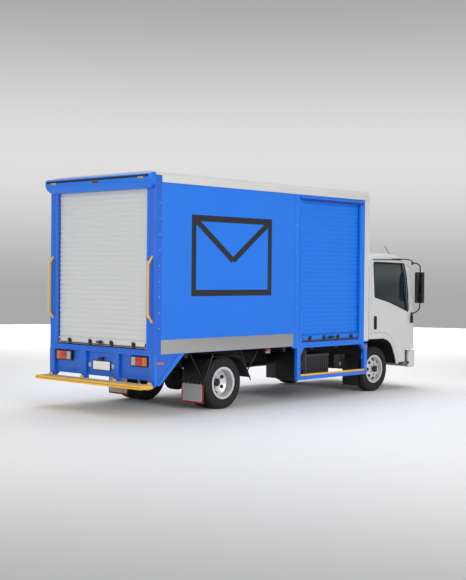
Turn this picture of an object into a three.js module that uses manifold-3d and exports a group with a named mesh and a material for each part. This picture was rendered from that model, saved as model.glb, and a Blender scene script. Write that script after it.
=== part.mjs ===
// Mail delivery truck: a light cab-over chassis with a box body, a rear and a kerbside roller shutter.
// Millimetres, +X forward, +Y to the truck's left, +Z up, ground at Z = 0.
// Stations (x) are counted from the rear face of the box; the whole model is centred at the end.
import * as THREE from 'three';
import { mergeVertices } from 'three/addons/utils/BufferGeometryUtils.js';
import Module from 'manifold-3d';

const wasm = await Module();
wasm.setup();

// ---------- driving dimensions ----------
const WHEEL_SIDES = 24;
const TYRE_RADIUS = 369;
const TYRE_HALF_WIDTH = 97;
const RIM_FLANGE_RADIUS = 226;
const BEAD_RADIUS = 203;
const AXLE_HEIGHT = TYRE_RADIUS * Math.cos(Math.PI / WHEEL_SIDES);
const REAR_AXLE_X = 1446;
const FRONT_AXLE_X = 5046;
const FRONT_WHEEL_Y = 870;
const KINGPIN_Y = 700;
const DUAL_CENTRE_Y = 780;
const DUAL_HALF_SPACING = 112.5;

const BODY_HALF = 1095;
const WALL = 35;
const INNER_HALF = BODY_HALF - WALL;
const RAIL_PROUD = 8;
const BOX_FRONT = 4688;
const FRONT_POST_X = 4569;
const SKIRT_BOTTOM = 832;
const SCUFF_TOP = 1026;
const FLOOR_TOP = 890;
const ROOF_RAIL_BOTTOM = 3103;
const WALL_TOP = 3193;
const ROOF_TOP = 3254;

const PORTAL_DEPTH = 120;
const PORTAL_HALF = 1103;
const REAR_OPENING_HALF = 945;
const OPENING_TOP = 3020;
const THRESHOLD_BOTTOM = 813;
const REAR_POST_BOTTOM = 420;

const SIDE_DOOR_REAR = 3017;
const SIDE_DOOR_FRONT = 4447;
const MID_POST_REAR = 2815;
const SIDE_SILL_BOTTOM = 800;
const SIDE_DOOR_SILL = 882;
const SIDE_DOOR_TOP = 3040;
const UNDERFRAME_BOTTOM = 316;
const UNDERFRAME_REAR = 2916;
const UNDERFRAME_FRONT = 4665;

const SLAT_THICKNESS = 12;
const DRUM_RADIUS = 100;
const DRUM_Z = 3060;
const BAR_HEIGHT = 100;

const FRAME_REAR = 70;
const FRAME_FRONT = 6030;
const FRAME_RAIL_OUT = 420;
const FRAME_RAIL_IN = 350;
const FRAME_BOTTOM = 560;
const FRAME_TOP = 760;
const CROSS_MEMBER_X = [160, 900, 2050, 3150, 4300, 5800];
const CROSS_MEMBER_DEPTH = 90;
const BEARER_X = [300, 620, 2230, 2650, 3300, 3900, 4500];
const BEARER_DEPTH = 60;

const STEP_REAR = -250;
const STEP_FRONT = -30;
const STEP_HALF = 1115;
const STEP_BOTTOM = 390;
const STEP_TOP = 440;
const BUMPER_FRONT = 6270;
const MIDDLE_X = (STEP_REAR + BUMPER_FRONT) / 2;

const CAB_HALF = 1000;
const CAB_SKIN = 60;
const CAB_REAR = 4830;
const CAB_FLOOR = 990;
const PLAN_CORNER = 170;
const ROOF_CORNER = 75;

const MIRROR_PIVOT_X = 6020;
const MIRROR_PIVOT_Y = 1025;
const MIRROR_LOW_KNUCKLE = 1225;
const MIRROR_HIGH_KNUCKLE = 2085;
const MIRROR_KNUCKLE_HEIGHT = 55;
const MIRROR_KNUCKLE_RADIUS = 17;
const WIPER_X = 6258;
const WIPER_Z = 1312;
const WIPER_RIGHT_Y = -560;
const WIPER_LEFT_Y = 60;
const ANTENNA_X = 5690;
const ANTENNA_Y = -800;
const ANTENNA_Z = 2247;

const GAP = 0.4;
const SIDES = [['right', -1], ['left', 1]];

// Runs one shape on the right and on the left.
const bothSides = (make) => SIDES.map(([, side]) => make(side));

// ---------- solids ----------
function solidOf(geometry) {
  const bare = geometry.index ? geometry.toNonIndexed() : geometry.clone();
  for (const name of Object.keys(bare.attributes)) {
    if (name !== 'position') bare.deleteAttribute(name);
  }
  const merged = mergeVertices(bare, 1e-3);
  const vertProperties = new Float32Array(merged.attributes.position.array);
  const triVerts = new Uint32Array(realTriangles(merged.index.array));
  return new wasm.Manifold(new wasm.Mesh({ numProp: 3, vertProperties, triVerts }));
}

// Leaves out the triangles that collapse to a line where a turned profile meets its axis.
function realTriangles(index) {
  const kept = [];
  for (let i = 0; i < index.length; i += 3) {
    const [a, b, c] = [index[i], index[i + 1], index[i + 2]];
    if (a !== b && b !== c && c !== a) kept.push(a, b, c);
  }
  return kept;
}

function geometryOf(solid) {
  const mesh = solid.getMesh();
  const geometry = new THREE.BufferGeometry();
  geometry.setAttribute('position', new THREE.BufferAttribute(new Float32Array(mesh.vertProperties), 3));
  geometry.setIndex(new THREE.BufferAttribute(new Uint32Array(mesh.triVerts), 1));
  return geometry;
}

function join(...geometries) {
  return geometryOf(geometries.map(solidOf).reduce((sum, solid) => sum.add(solid)));
}

function cut(geometry, ...tools) {
  return geometryOf(tools.map(solidOf).reduce((rest, solid) => rest.subtract(solid), solidOf(geometry)));
}

function common(first, second) {
  return geometryOf(solidOf(first).intersect(solidOf(second)));
}

function signedVolume(geometry) {
  const flat = geometry.toNonIndexed().attributes.position;
  const [a, b, c] = [new THREE.Vector3(), new THREE.Vector3(), new THREE.Vector3()];
  let sum = 0;
  for (let i = 0; i < flat.count; i += 3) {
    a.fromBufferAttribute(flat, i);
    b.fromBufferAttribute(flat, i + 1);
    c.fromBufferAttribute(flat, i + 2);
    sum += a.dot(b.cross(c)) / 6;
  }
  return sum;
}

// Turns every face over where an indexed surface came out facing inward.
function outward(geometry) {
  if (signedVolume(geometry) < 0) {
    const index = geometry.index.array;
    for (let i = 0; i < index.length; i += 3) {
      [index[i + 1], index[i + 2]] = [index[i + 2], index[i + 1]];
    }
  }
  return geometry;
}

function block(x0, x1, y0, y1, z0, z1) {
  const geometry = new THREE.BoxGeometry(x1 - x0, y1 - y0, z1 - z0);
  return geometry.translate((x0 + x1) / 2, (y0 + y1) / 2, (z0 + z1) / 2);
}

// A block between two distances from the middle plane, on one side of the truck.
function sideBlock(side, x0, x1, near, far, z0, z1) {
  const [y0, y1] = side < 0 ? [-far, -near] : [near, far];
  return block(x0, x1, y0, y1, z0, z1);
}

function shapeOf(points) {
  return new THREE.Shape(points.map(([u, v]) => new THREE.Vector2(u, v)));
}

// Prisms of an outline drawn in one plane, between two places on the third axis.
function prismXZ(points, y0, y1) {
  const geometry = new THREE.ExtrudeGeometry(shapeOf(points), { depth: y1 - y0, bevelEnabled: false });
  return geometry.rotateX(Math.PI / 2).translate(0, y1, 0);
}

function sidePrismXZ(side, points, near, far) {
  return side < 0 ? prismXZ(points, -far, -near) : prismXZ(points, near, far);
}

function prismYZ(points, x0, x1) {
  const geometry = new THREE.ExtrudeGeometry(shapeOf(points), { depth: x1 - x0, bevelEnabled: false });
  const turn = new THREE.Matrix4().set(0, 0, 1, x0, 1, 0, 0, 0, 0, 1, 0, 0, 0, 0, 0, 1);
  return geometry.applyMatrix4(turn);
}

function tube(points, radius, sides = 8, steps = 1) {
  const knots = points.map((p) => new THREE.Vector3(...p));
  const curve = knots.length === 2
    ? new THREE.LineCurve3(knots[0], knots[1])
    : new THREE.CatmullRomCurve3(knots, false, 'centripetal');
  const ring = new THREE.Shape();
  for (let i = 0; i < sides; i += 1) {
    const angle = (2 * Math.PI * i) / sides;
    const [u, v] = [radius * Math.cos(angle), radius * Math.sin(angle)];
    if (i === 0) ring.moveTo(u, v);
    else ring.lineTo(u, v);
  }
  return new THREE.ExtrudeGeometry(ring, { steps, bevelEnabled: false, extrudePath: curve });
}

// A solid of revolution about the Y axis, with a flat of the ring facing straight down.
function turned(profile, segments = WHEEL_SIDES) {
  const points = profile.map(([radius, height]) => new THREE.Vector2(radius, height));
  return outward(new THREE.LatheGeometry(points, segments).rotateY(Math.PI / segments));
}

function closedLoop(profile) {
  return [...profile, profile[0]];
}

// Moves every edge of a counter-clockwise outline outward by one distance.
function grow(points, distance) {
  return points.map((point, i) => {
    const before = points[(i + points.length - 1) % points.length];
    const after = points[(i + 1) % points.length];
    const a = new THREE.Vector2(point[0] - before[0], point[1] - before[1]).normalize();
    const b = new THREE.Vector2(after[0] - point[0], after[1] - point[1]).normalize();
    const normal = new THREE.Vector2(a.y + b.y, -a.x - b.x).normalize();
    const reach = distance / Math.max(0.4, normal.x * a.y - normal.y * a.x);
    return [point[0] + normal.x * reach, point[1] + normal.y * reach];
  });
}

// Replaces each corner of an outline by a short curve.
function soften(points, radius, steps = 3) {
  const result = [];
  points.forEach((point, i) => {
    const corner = new THREE.Vector2(...point);
    const before = new THREE.Vector2(...points[(i + points.length - 1) % points.length]);
    const after = new THREE.Vector2(...points[(i + 1) % points.length]);
    const start = corner.clone().add(before.sub(corner).setLength(radius));
    const end = corner.clone().add(after.sub(corner).setLength(radius));
    const curve = new THREE.QuadraticBezierCurve(start, corner, end);
    for (const p of curve.getPoints(steps)) result.push([p.x, p.y]);
  });
  return result;
}

// ---------- finishes ----------
const finish = (color, roughness, metalness = 0) => ({ color, roughness, metalness });
const BLUE = finish(0x1f6fe0, 0.35);
const SILVER_SLAT = finish(0xb9bcbe, 0.4, 0.3);
const ALUMINIUM = finish(0xb4b4b2, 0.35, 0.9);
const WHITE = finish(0xe8e8e6, 0.3);
const BLACK_STEEL = finish(0x1b1b1c, 0.6, 0.2);
const BLACK_PLASTIC = finish(0x202021, 0.65);
const RUBBER = finish(0x2a2a2b, 0.85);
const RIM_SILVER = finish(0xc9cbcd, 0.35, 0.8);
const YELLOW = finish(0xe6bb2e, 0.45);
const LAMP_RED = finish(0xb4201c, 0.2);
const LAMP_CLEAR = finish(0xe2e6e8, 0.1);
const GLASS = finish(0x2c3b40, 0.05);
const FABRIC = finish(0x4a4d50, 0.9);
const STEEL = finish(0x9a8f7c, 0.4, 0.8);

const truck = new THREE.Group();
const stations = new THREE.Group();
stations.position.x = -MIDDLE_X;
truck.add(stations);

function piece(name, geometry, look, place = [0, 0, 0]) {
  const mesh = new THREE.Mesh(geometry, new THREE.MeshStandardMaterial(look));
  mesh.name = name;
  mesh.position.set(...place);
  stations.add(mesh);
}

// ---------- chassis ----------
function chassisFrame() {
  const rails = bothSides((side) => (
    sideBlock(side, FRAME_REAR, FRAME_FRONT, FRAME_RAIL_IN, FRAME_RAIL_OUT, FRAME_BOTTOM, FRAME_TOP)));
  const reach = FRAME_RAIL_IN + 30;
  const members = CROSS_MEMBER_X.map((x) => (
    block(x, x + CROSS_MEMBER_DEPTH, -reach, reach, FRAME_TOP - 115, FRAME_TOP - 25)));
  return join(...rails, ...members);
}

function springPack(side, axleX, halfLength, seat, thickness) {
  const eyeTop = FRAME_BOTTOM - GAP;
  const eyeBottom = eyeTop - 32;
  const knee = halfLength * 0.5;
  const kneeRise = 22;
  const leaf = [
    [axleX - halfLength, eyeBottom], [axleX - knee, seat + kneeRise], [axleX - 70, seat],
    [axleX + 70, seat], [axleX + knee, seat + kneeRise], [axleX + halfLength, eyeBottom],
    [axleX + halfLength, eyeTop], [axleX + halfLength - 60, eyeTop],
    [axleX + knee, seat + kneeRise + thickness], [axleX, seat + thickness],
    [axleX - knee, seat + kneeRise + thickness], [axleX - halfLength + 60, eyeTop],
    [axleX - halfLength, eyeTop],
  ];
  return sidePrismXZ(side, leaf, FRAME_RAIL_IN + 5, FRAME_RAIL_OUT - 5);
}

function rearAxle() {
  const [tubeRadius, tubeHalf, endHalf] = [55, 600, 740];
  const [bowlRadius, bowlHalf] = [165, 70];
  const [drumRadius, drumIn, drumOut] = [150, 602, 735];
  const housing = turned([
    [0, -endHalf], [60, -endHalf], [60, -tubeHalf], [tubeRadius, -tubeHalf], [tubeRadius, -180],
    [bowlRadius, -bowlHalf], [bowlRadius, bowlHalf], [tubeRadius, 180], [tubeRadius, tubeHalf],
    [60, tubeHalf + 0.5], [60, endHalf], [0, endHalf],
  ], 16);
  const drumProfile = [[0, drumIn], [drumRadius, drumIn], [drumRadius, drumOut], [0, drumOut]];
  const drums = bothSides((side) => turned(drumProfile.map(([r, y]) => [r, side * y]), 16));
  const nose = turned([[0, 0], [90, 0], [55, 190], [0, 190]], 12).rotateZ(-Math.PI / 2);
  const seats = bothSides((side) => (
    sideBlock(side, -70, 70, FRAME_RAIL_IN + 5, FRAME_RAIL_OUT - 5, 20, 90)));
  const axle = join(housing, ...drums, nose, ...seats).translate(REAR_AXLE_X, 0, AXLE_HEIGHT);
  const springs = bothSides((side) => springPack(side, REAR_AXLE_X, 600, AXLE_HEIGHT + 85, 42));
  return join(axle, ...springs);
}

function frontAxle() {
  const [low, high] = [325, 400];
  const halfDepth = 35;
  const beam = block(FRONT_AXLE_X - halfDepth, FRONT_AXLE_X + halfDepth, -560, 560, low, high);
  const eyes = bothSides((side) => (
    sideBlock(side, FRONT_AXLE_X - halfDepth, FRONT_AXLE_X + halfDepth, 500, 630, low, high)));
  const seats = bothSides((side) => (
    sideBlock(side, FRONT_AXLE_X - 60, FRONT_AXLE_X + 60, 355, 415, high - 5, high + 25)));
  const springs = bothSides((side) => springPack(side, FRONT_AXLE_X, 480, high + 20, 30));
  return join(beam, ...eyes, ...seats, ...springs);
}

function engineAndGearbox() {
  const [engineRear, engineFront] = [4960, 5700];
  const engine = block(engineRear, engineFront, -230, 230, 500, 900);
  const sump = block(engineRear + 140, engineFront - 100, -160, 160, 430, 520);
  const gearbox = prismXZ([
    [4500, 510], [4700, 470], [engineRear + 10, 450], [engineRear + 10, 760], [4700, 720], [4500, 650],
  ], -150, 150);
  const fan = turned([[0, 0], [190, 0], [190, 35], [0, 35]], 16)
    .rotateZ(-Math.PI / 2).translate(engineFront - 1, 0, 700);
  return join(engine, sump, gearbox, fan);
}

const SHAFT_REAR = new THREE.Vector3(1640, 0, 372);
const SHAFT_FRONT = new THREE.Vector3(4496, 0, 580);

function propellerShaft() {
  return tube([SHAFT_REAR.toArray(), SHAFT_FRONT.toArray()], 38, 10);
}

function fuelTank() {
  const [rear, front, low, high] = [2950, 3250, 300, 778];
  const [near, far] = [640, 1000];
  const outline = soften([[rear, low], [front, low], [front, high], [rear, high]], 40, 2);
  const tank = prismXZ(outline, -far, -near);
  const bracket = block(rear + 110, front - 110, -near - 5, -FRAME_RAIL_OUT - GAP, 600, 700);
  return join(tank, bracket);
}

function batteryBox() {
  const near = 560;
  const far = 850;
  const ribbed = block(3290, 3980, -far, -near, 350, 670);
  const small = block(4125, 4400, -far, -near - 40, 415, 640);
  const carrier = block(3260, 4430, -near - 50, -near, 500, 560);
  const hangerX = [3500, 4200];
  const arms = hangerX.map((x) => block(x, x + 60, -near - 5, -FRAME_RAIL_OUT - GAP, 570, 640));
  const hangers = hangerX.map((x) => block(x, x + 60, -near - 40, -near + 5, 540, 640));
  return join(ribbed, small, carrier, ...arms, ...hangers);
}

// ---------- wheels ----------
// Profiles hold [radius, distance outward from the wheel's middle plane].
function tyreProfile() {
  const half = [
    [BEAD_RADIUS + 0.6, 74], [RIM_FLANGE_RADIUS + 12, 78], [290, TYRE_HALF_WIDTH], [TYRE_RADIUS, 68],
  ];
  const mirrored = half.map(([r, y]) => [r, -y]).reverse();
  return closedLoop([...half, ...mirrored].reverse());
}

function tyre(centre) {
  return turned(tyreProfile().map(([r, y]) => [r, y + centre]));
}

function frontRimProfile() {
  return [[0, 62], [112, 62], [192, 20], [192, -84], [RIM_FLANGE_RADIUS, -86],
    [RIM_FLANGE_RADIUS, -79], [BEAD_RADIUS - 1, -76], [BEAD_RADIUS - 1, 76], [RIM_FLANGE_RADIUS, 79],
    [RIM_FLANGE_RADIUS, 86], [160, 56], [115, 76], [54, 76], [50, 118], [0, 118]];
}

function rearRimProfile() {
  const c = DUAL_HALF_SPACING;
  const flange = RIM_FLANGE_RADIUS;
  return [[0, -28], [110, -28], [192, -58], [192, -c - 84], [flange, -c - 86], [flange, -c - 79],
    [BEAD_RADIUS - 1, -c - 76], [BEAD_RADIUS - 1, -c + 76], [flange, -c + 79], [flange, -c + 86],
    [150, 0], [flange, c - 86], [flange, c - 79], [BEAD_RADIUS - 1, c - 76],
    [BEAD_RADIUS - 1, c + 76], [flange, c + 79], [flange, c + 86], [192, c + 76], [192, 70],
    [112, 22], [60, 22], [54, 80], [0, 80]];
}

// Turns a wheel made for the left side so that its outer face looks out on either side.
function onSide(geometry, side) {
  return side < 0 ? geometry.rotateZ(Math.PI) : geometry;
}

function wheels() {
  for (const [name, side] of SIDES) {
    const rear = [REAR_AXLE_X, side * DUAL_CENTRE_Y, AXLE_HEIGHT];
    piece(`rear_tyre_outer_${name}`, onSide(tyre(DUAL_HALF_SPACING), side), RUBBER, rear);
    piece(`rear_tyre_inner_${name}`, onSide(tyre(-DUAL_HALF_SPACING), side), RUBBER, rear);
    piece(`rear_rims_${name}`, onSide(turned(rearRimProfile()), side), RIM_SILVER, rear);
    const front = [FRONT_AXLE_X, side * FRONT_WHEEL_Y, AXLE_HEIGHT];
    piece(`front_tyre_${name}`, onSide(tyre(0), side), RUBBER, front);
    piece(`front_rim_${name}`, onSide(turned(frontRimProfile()), side), RIM_SILVER, front);
    piece(`front_hub_${name}`, frontHub(side), BLACK_STEEL, [FRONT_AXLE_X, 0, AXLE_HEIGHT]);
  }
}

// The steering knuckle with its brake drum, which carries the front wheel.
function frontHub(side) {
  const reach = FRONT_WHEEL_Y;
  const drum = turned([[0, reach - 110], [145, reach - 110], [145, reach + 8], [0, reach + 8]]
    .map(([r, y]) => [r, side * y]), 16);
  const knuckle = sideBlock(side, -45, 45, KINGPIN_Y - 45, reach - 100, -75, 75);
  const arm = sideBlock(side, -160, -30, KINGPIN_Y - 10, KINGPIN_Y + 20, -70, -40);
  return join(drum, knuckle, arm);
}

// ---------- box body ----------
function cargoFloor() {
  const side = INNER_HALF - GAP;
  const slab = block(PORTAL_DEPTH + GAP, BOX_FRONT - WALL - GAP, -side, side, SKIRT_BOTTOM, FLOOR_TOP);
  const bearerHalf = 1040;
  const bearers = BEARER_X.map((x) => (
    block(x, x + BEARER_DEPTH, -bearerHalf, bearerHalf, FRAME_TOP + GAP, SKIRT_BOTTOM + 10)));
  return join(slab, ...bearers);
}

function roofPanel() {
  const lipOut = BODY_HALF + RAIL_PROUD + 5;
  const lipIn = BODY_HALF + GAP;
  const bottom = WALL_TOP + GAP;
  const crownHalf = 900;
  const front = BOX_FRONT + RAIL_PROUD;
  const half = [
    [lipOut, ROOF_RAIL_BOTTOM], [lipOut, WALL_TOP], [lipOut - 28, ROOF_TOP - 14], [crownHalf, ROOF_TOP],
  ];
  const outer = [...half, ...half.map(([y, z]) => [-y, z]).reverse()];
  const inner = [[-lipIn, ROOF_RAIL_BOTTOM], [-lipIn, bottom], [lipIn, bottom], [lipIn, ROOF_RAIL_BOTTOM]];
  const shell = prismYZ([...outer, ...inner], 20, front);
  const rearNotches = bothSides((side) => (
    sideBlock(side, 0, PORTAL_DEPTH + 1, lipIn - 5, lipOut + 5, 3000, bottom)));
  const frontLip = block(BOX_FRONT + GAP, front, -lipOut, lipOut, ROOF_RAIL_BOTTOM, bottom + 5);
  return join(cut(shell, ...rearNotches), frontLip);
}

function scuffRail(side) {
  const outer = BODY_HALF + RAIL_PROUD;
  return sideBlock(side, PORTAL_DEPTH + 2, MID_POST_REAR - 4, INNER_HALF + 5, outer, SKIRT_BOTTOM, SCUFF_TOP);
}

// The U-shaped guard below the sill, with gussets in its upper corners and the front wheel's mud flap.
function underframe(side) {
  const post = 80;
  const gusset = 110;
  const top = SIDE_SILL_BOTTOM + 5;
  const bottom = UNDERFRAME_BOTTOM + post;
  const rear = UNDERFRAME_REAR + post;
  const front = UNDERFRAME_FRONT - post;
  const outline = [
    [UNDERFRAME_REAR, UNDERFRAME_BOTTOM], [UNDERFRAME_FRONT, UNDERFRAME_BOTTOM], [UNDERFRAME_FRONT, top],
    [front - 90, top], [front, top - gusset], [front, bottom], [rear, bottom],
    [rear, top - gusset], [rear + 90, top], [UNDERFRAME_REAR, top],
  ];
  const guardIn = BODY_HALF - 55;
  const guard = sidePrismXZ(side, outline, guardIn, BODY_HALF);
  const flapRear = 4560;
  const flapFront = flapRear + 8;
  const bracket = join(
    sideBlock(side, flapRear, flapFront, 660, guardIn + 10, 560, 640),
    sideBlock(side, flapRear, front + 15, guardIn, guardIn + 15, 560, 640),
  );
  const flap = sideBlock(side, flapRear, flapFront, 680, 985, 120, 600);
  return join(guard, bracket, flap);
}

function sill(side) {
  const [low, high] = [SIDE_SILL_BOTTOM, SIDE_DOOR_SILL];
  return sideBlock(side, MID_POST_REAR, FRONT_POST_X, INNER_HALF, BODY_HALF, low, high);
}

// The walls step in behind the roof's edge rail, so that each panel's face ends where the rail begins.
const REBATE = 2;
const REBATE_BOTTOM = ROOF_RAIL_BOTTOM - GAP;

function sideWallSlab(side) {
  const [rear, front] = [PORTAL_DEPTH + GAP, FRONT_POST_X - GAP];
  const slab = sideBlock(side, rear, front, INNER_HALF, BODY_HALF, SKIRT_BOTTOM, REBATE_BOTTOM);
  const band = sideBlock(side, rear, front, INNER_HALF, BODY_HALF - REBATE, REBATE_BOTTOM - 5, WALL_TOP);
  return join(slab, band);
}

function rightSideWall() {
  const doorway = sideBlock(-1, SIDE_DOOR_REAR, SIDE_DOOR_FRONT, 900, 1200, SIDE_DOOR_SILL, SIDE_DOOR_TOP);
  return join(cut(sideWallSlab(-1), doorway), scuffRail(-1), sill(-1), underframe(-1));
}

function leftSideWall() {
  return join(sideWallSlab(1), scuffRail(1), sill(1), underframe(1));
}

function frontWall() {
  const tier = (inset, low, high) => {
    const [front, half] = [BOX_FRONT - inset, BODY_HALF - inset];
    const panel = block(BOX_FRONT - WALL, front, -half, half, low, high);
    const posts = bothSides((side) => sideBlock(side, FRONT_POST_X, front, INNER_HALF, half, low, high));
    return join(panel, ...posts);
  };
  return join(tier(0, SKIRT_BOTTOM, REBATE_BOTTOM), tier(REBATE, REBATE_BOTTOM - 5, WALL_TOP));
}

// The welded portal round the rear doorway, with the lower posts, the recessed apron and side braces.
function rearFrame() {
  const posts = bothSides((side) => (
    sideBlock(side, 0, PORTAL_DEPTH, REAR_OPENING_HALF, PORTAL_HALF, THRESHOLD_BOTTOM, WALL_TOP)));
  const header = block(0, 34, -PORTAL_HALF, PORTAL_HALF, OPENING_TOP, WALL_TOP);
  const threshold = block(0, PORTAL_DEPTH, -PORTAL_HALF, PORTAL_HALF, THRESHOLD_BOTTOM, FLOOR_TOP);
  const meet = THRESHOLD_BOTTOM + 5;
  const lowerPosts = [[-PORTAL_HALF, -1000], [-400, -300], [295, 395], [1000, PORTAL_HALF]]
    .map(([y0, y1]) => block(0, 60, y0, y1, REAR_POST_BOTTOM, meet));
  const apron = block(50, 60, -1005, 1005, 480, meet);
  const braceTop = SKIRT_BOTTOM - GAP;
  const brace = [
    [0, REAR_POST_BOTTOM], [110, REAR_POST_BOTTOM], [560, braceTop],
    [PORTAL_DEPTH - 1, braceTop], [0, braceTop],
  ];
  const braces = bothSides((side) => sidePrismXZ(side, brace, PORTAL_HALF - 25, PORTAL_HALF));
  const grooves = bothSides((side) => (
    sideBlock(side, 40, 62, REAR_OPENING_HALF - 20, REAR_OPENING_HALF + 20, FLOOR_TOP + 4, 3120)));
  return cut(join(...posts, header, threshold, ...lowerPosts, apron, ...braces), ...grooves);
}

function rearHood() {
  const top = WALL_TOP + 32;
  const section = [
    [-GAP, OPENING_TOP], [-34, OPENING_TOP + 4], [-92, 3110], [-102, 3150],
    [-102, top - 20], [-62, top], [-GAP, top],
  ];
  const half = PORTAL_HALF + 7;
  const hood = prismXZ(section.reverse(), -half, half);
  const corner = [[1130, 3000], [1130, 3095], [1035, 3000]];
  const corners = bothSides((side) => prismYZ(corner.map(([y, z]) => [side * y, z]), -120, 10));
  return cut(hood, ...corners);
}

function stepBumper() {
  const plank = block(STEP_REAR, STEP_FRONT, -STEP_HALF, STEP_HALF, STEP_BOTTOM, STEP_TOP);
  const brackets = [-1050, -350, 345, 1050].map((y) => (
    block(STEP_FRONT - 5, -GAP, y - 40, y + 40, STEP_BOTTOM + 6, STEP_TOP + 30)));
  return join(plank, ...brackets);
}

function handrail(side) {
  const y = side * 1050;
  const [low, high, out] = [1270, 2115, -62];
  const foot = [[-3, y, low], [-30, y, low + 3], [-54, y, low + 18], [out, y, low + 48]];
  const head = foot.map(([x, , z]) => [x, y, low + high - z]).reverse();
  return tube([...foot, ...head], 14, 7, 18);
}

function tailLamp(side) {
  return sideBlock(side, 10, 50 - GAP, 625, 965, 660, 800);
}

// A guard arched over the twin tyres, its flap behind them and the stays that hold it.
function mudguard(side) {
  const outer = [[1030, 385], [1052, 560], [1112, 705], [1215, 750], [1680, 750], [1790, 705], [1985, 420]];
  const inner = [[1974, 416], [1781, 698], [1677, 744], [1218, 744], [1118, 699], [1058, 558], [1038, 385]];
  const guard = sidePrismXZ(side, [...outer, ...inner].reverse(), 565, 1005);
  const flap = sideBlock(side, 1028, 1036, 570, 1000, 100, 395);
  const low = side * 615;
  const high = side * 934;
  const edge = side * 1000;
  const stays = [
    tube([[790, low, 826], [1048, low, 500]], 8, 6),
    tube([[806, high, 826], [1048, high, 480]], 8, 6),
    tube([[1227, edge, 826], [1036, edge, 395]], 9, 6),
    tube([[1770, edge, 826], [1990, edge, 372]], 9, 6),
    tube([[2150, edge, 826], [1925, edge, 515]], 9, 6),
  ];
  return join(guard, flap, ...stays);
}

// ---------- roller shutters ----------
const LEVER_HALF = 70;

function handleBoss(length) {
  return turned([[0, 0], [22, 0], [22, length], [0, length]], 10);
}

function rearShutter() {
  const half = REAR_OPENING_HALF + 14;
  const barHalf = REAR_OPENING_HALF - 3;
  const [barRear, barFront] = [28, 62];
  const curtainX = 45;
  const handleZ = FLOOR_TOP + 62;
  const leverRear = -12;
  const bossLength = 36;
  const bar = block(barRear, barFront, -barHalf, barHalf, FLOOR_TOP + 2, FLOOR_TOP + BAR_HEIGHT);
  const curtainFront = curtainX + SLAT_THICKNESS;
  const curtain = block(curtainX, curtainFront, -half, half, FLOOR_TOP + BAR_HEIGHT + GAP, DRUM_Z);
  const drum = turned([[0, -925], [DRUM_RADIUS, -925], [DRUM_RADIUS, 925], [0, 925]], 20)
    .translate(curtainFront + 3 + DRUM_RADIUS, 0, DRUM_Z);
  const handle = join(
    handleBoss(bossLength).rotateZ(Math.PI / 2).translate(barRear - GAP, 0, handleZ),
    block(leverRear, -1, -LEVER_HALF, LEVER_HALF, handleZ - 12, handleZ + 12),
  );
  piece('rear_shutter_bar', bar, SILVER_SLAT);
  piece('rear_shutter_curtain', curtain, SILVER_SLAT);
  piece('rear_shutter_drum', drum, STEEL);
  piece('rear_shutter_handle', handle, BLACK_STEEL);
}

function sideShutter() {
  const [rear, front] = [SIDE_DOOR_REAR, SIDE_DOOR_FRONT];
  const [low, high] = [SIDE_DOOR_SILL + 2, SIDE_DOOR_SILL + BAR_HEIGHT];
  const middle = (rear + front) / 2;
  const barFace = -BODY_HALF + 14;
  const curtainY = -INNER_HALF + 5;
  const bar = block(rear + 3, front - 3, barFace, -INNER_HALF - 1, low, high);
  const curtain = block(rear - 12, front + 12, curtainY, curtainY + SLAT_THICKNESS, high + GAP, DRUM_Z);
  const drum = turned([[0, -700], [DRUM_RADIUS, -700], [DRUM_RADIUS, 700], [0, 700]], 20).rotateZ(Math.PI / 2)
    .translate(middle, curtainY + SLAT_THICKNESS + 3 + DRUM_RADIUS, DRUM_Z);
  const handleZ = SIDE_DOOR_SILL + 62;
  const faceY = barFace - GAP;
  const handle = join(
    handleBoss(22).translate(middle, faceY - 22, handleZ),
    block(middle - LEVER_HALF, middle + LEVER_HALF, faceY - 34, faceY - 18, handleZ - 12, handleZ + 12),
  );
  piece('side_shutter_bar', bar, BLUE);
  piece('side_shutter_curtain', curtain, BLUE);
  piece('side_shutter_drum', drum, STEEL);
  piece('side_shutter_handle', handle, STEEL);
}

// ---------- cab ----------
const smooth = (t) => {
  const u = Math.min(1, Math.max(0, t));
  return u * u * (3 - 2 * u);
};

const arcDrop = (distance, radius) => radius - Math.sqrt(Math.max(0, radius * radius - distance * distance));

// The cab's nose curves back towards its sides, less so at the roof, and the roof's edges roll down.
function cabSkin(x, y, z) {
  const away = Math.abs(y);
  const plan = 30 * (away / CAB_HALF) ** 2 + arcDrop(Math.max(0, away - CAB_HALF + PLAN_CORNER), PLAN_CORNER);
  const ease = 1 - 0.65 * smooth((z - 1400) / 700);
  const roll = 8 * (away / CAB_HALF) ** 2 + arcDrop(Math.max(0, away - CAB_HALF + ROOF_CORNER), ROOF_CORNER);
  return [x - plan * ease * smooth((x - 5600) / 500), y, z - roll * smooth((z - 1900) / 250)];
}

const SECTIONS = [0, 400, 800, 860, 915, 955, 985, 1000];

// Carries an X-Z outline across the cab's width, bending each section as the cab's skin bends.
function lofted(points, half) {
  const halves = SECTIONS.filter((y) => y < half).concat(half);
  const ys = [...halves.slice(1).map((y) => -y).reverse(), ...halves];
  const flat = points.map(([x, z]) => new THREE.Vector2(x, z));
  const caps = THREE.ShapeUtils.triangulateShape(flat, []);
  const count = points.length;
  const position = ys.flatMap((y) => points.flatMap(([x, z]) => cabSkin(x, y, z)));
  const index = [];
  for (let s = 0; s + 1 < ys.length; s += 1) {
    for (let i = 0; i < count; i += 1) {
      const [a, b] = [s * count + i, s * count + ((i + 1) % count)];
      index.push(a, b, a + count, b, b + count, a + count);
    }
  }
  const last = (ys.length - 1) * count;
  for (const [a, b, c] of caps) {
    index.push(a, c, b, last + a, last + b, last + c);
  }
  const geometry = new THREE.BufferGeometry();
  geometry.setAttribute('position', new THREE.BufferAttribute(new Float32Array(position), 3));
  geometry.setIndex(index);
  return outward(geometry);
}

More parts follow.
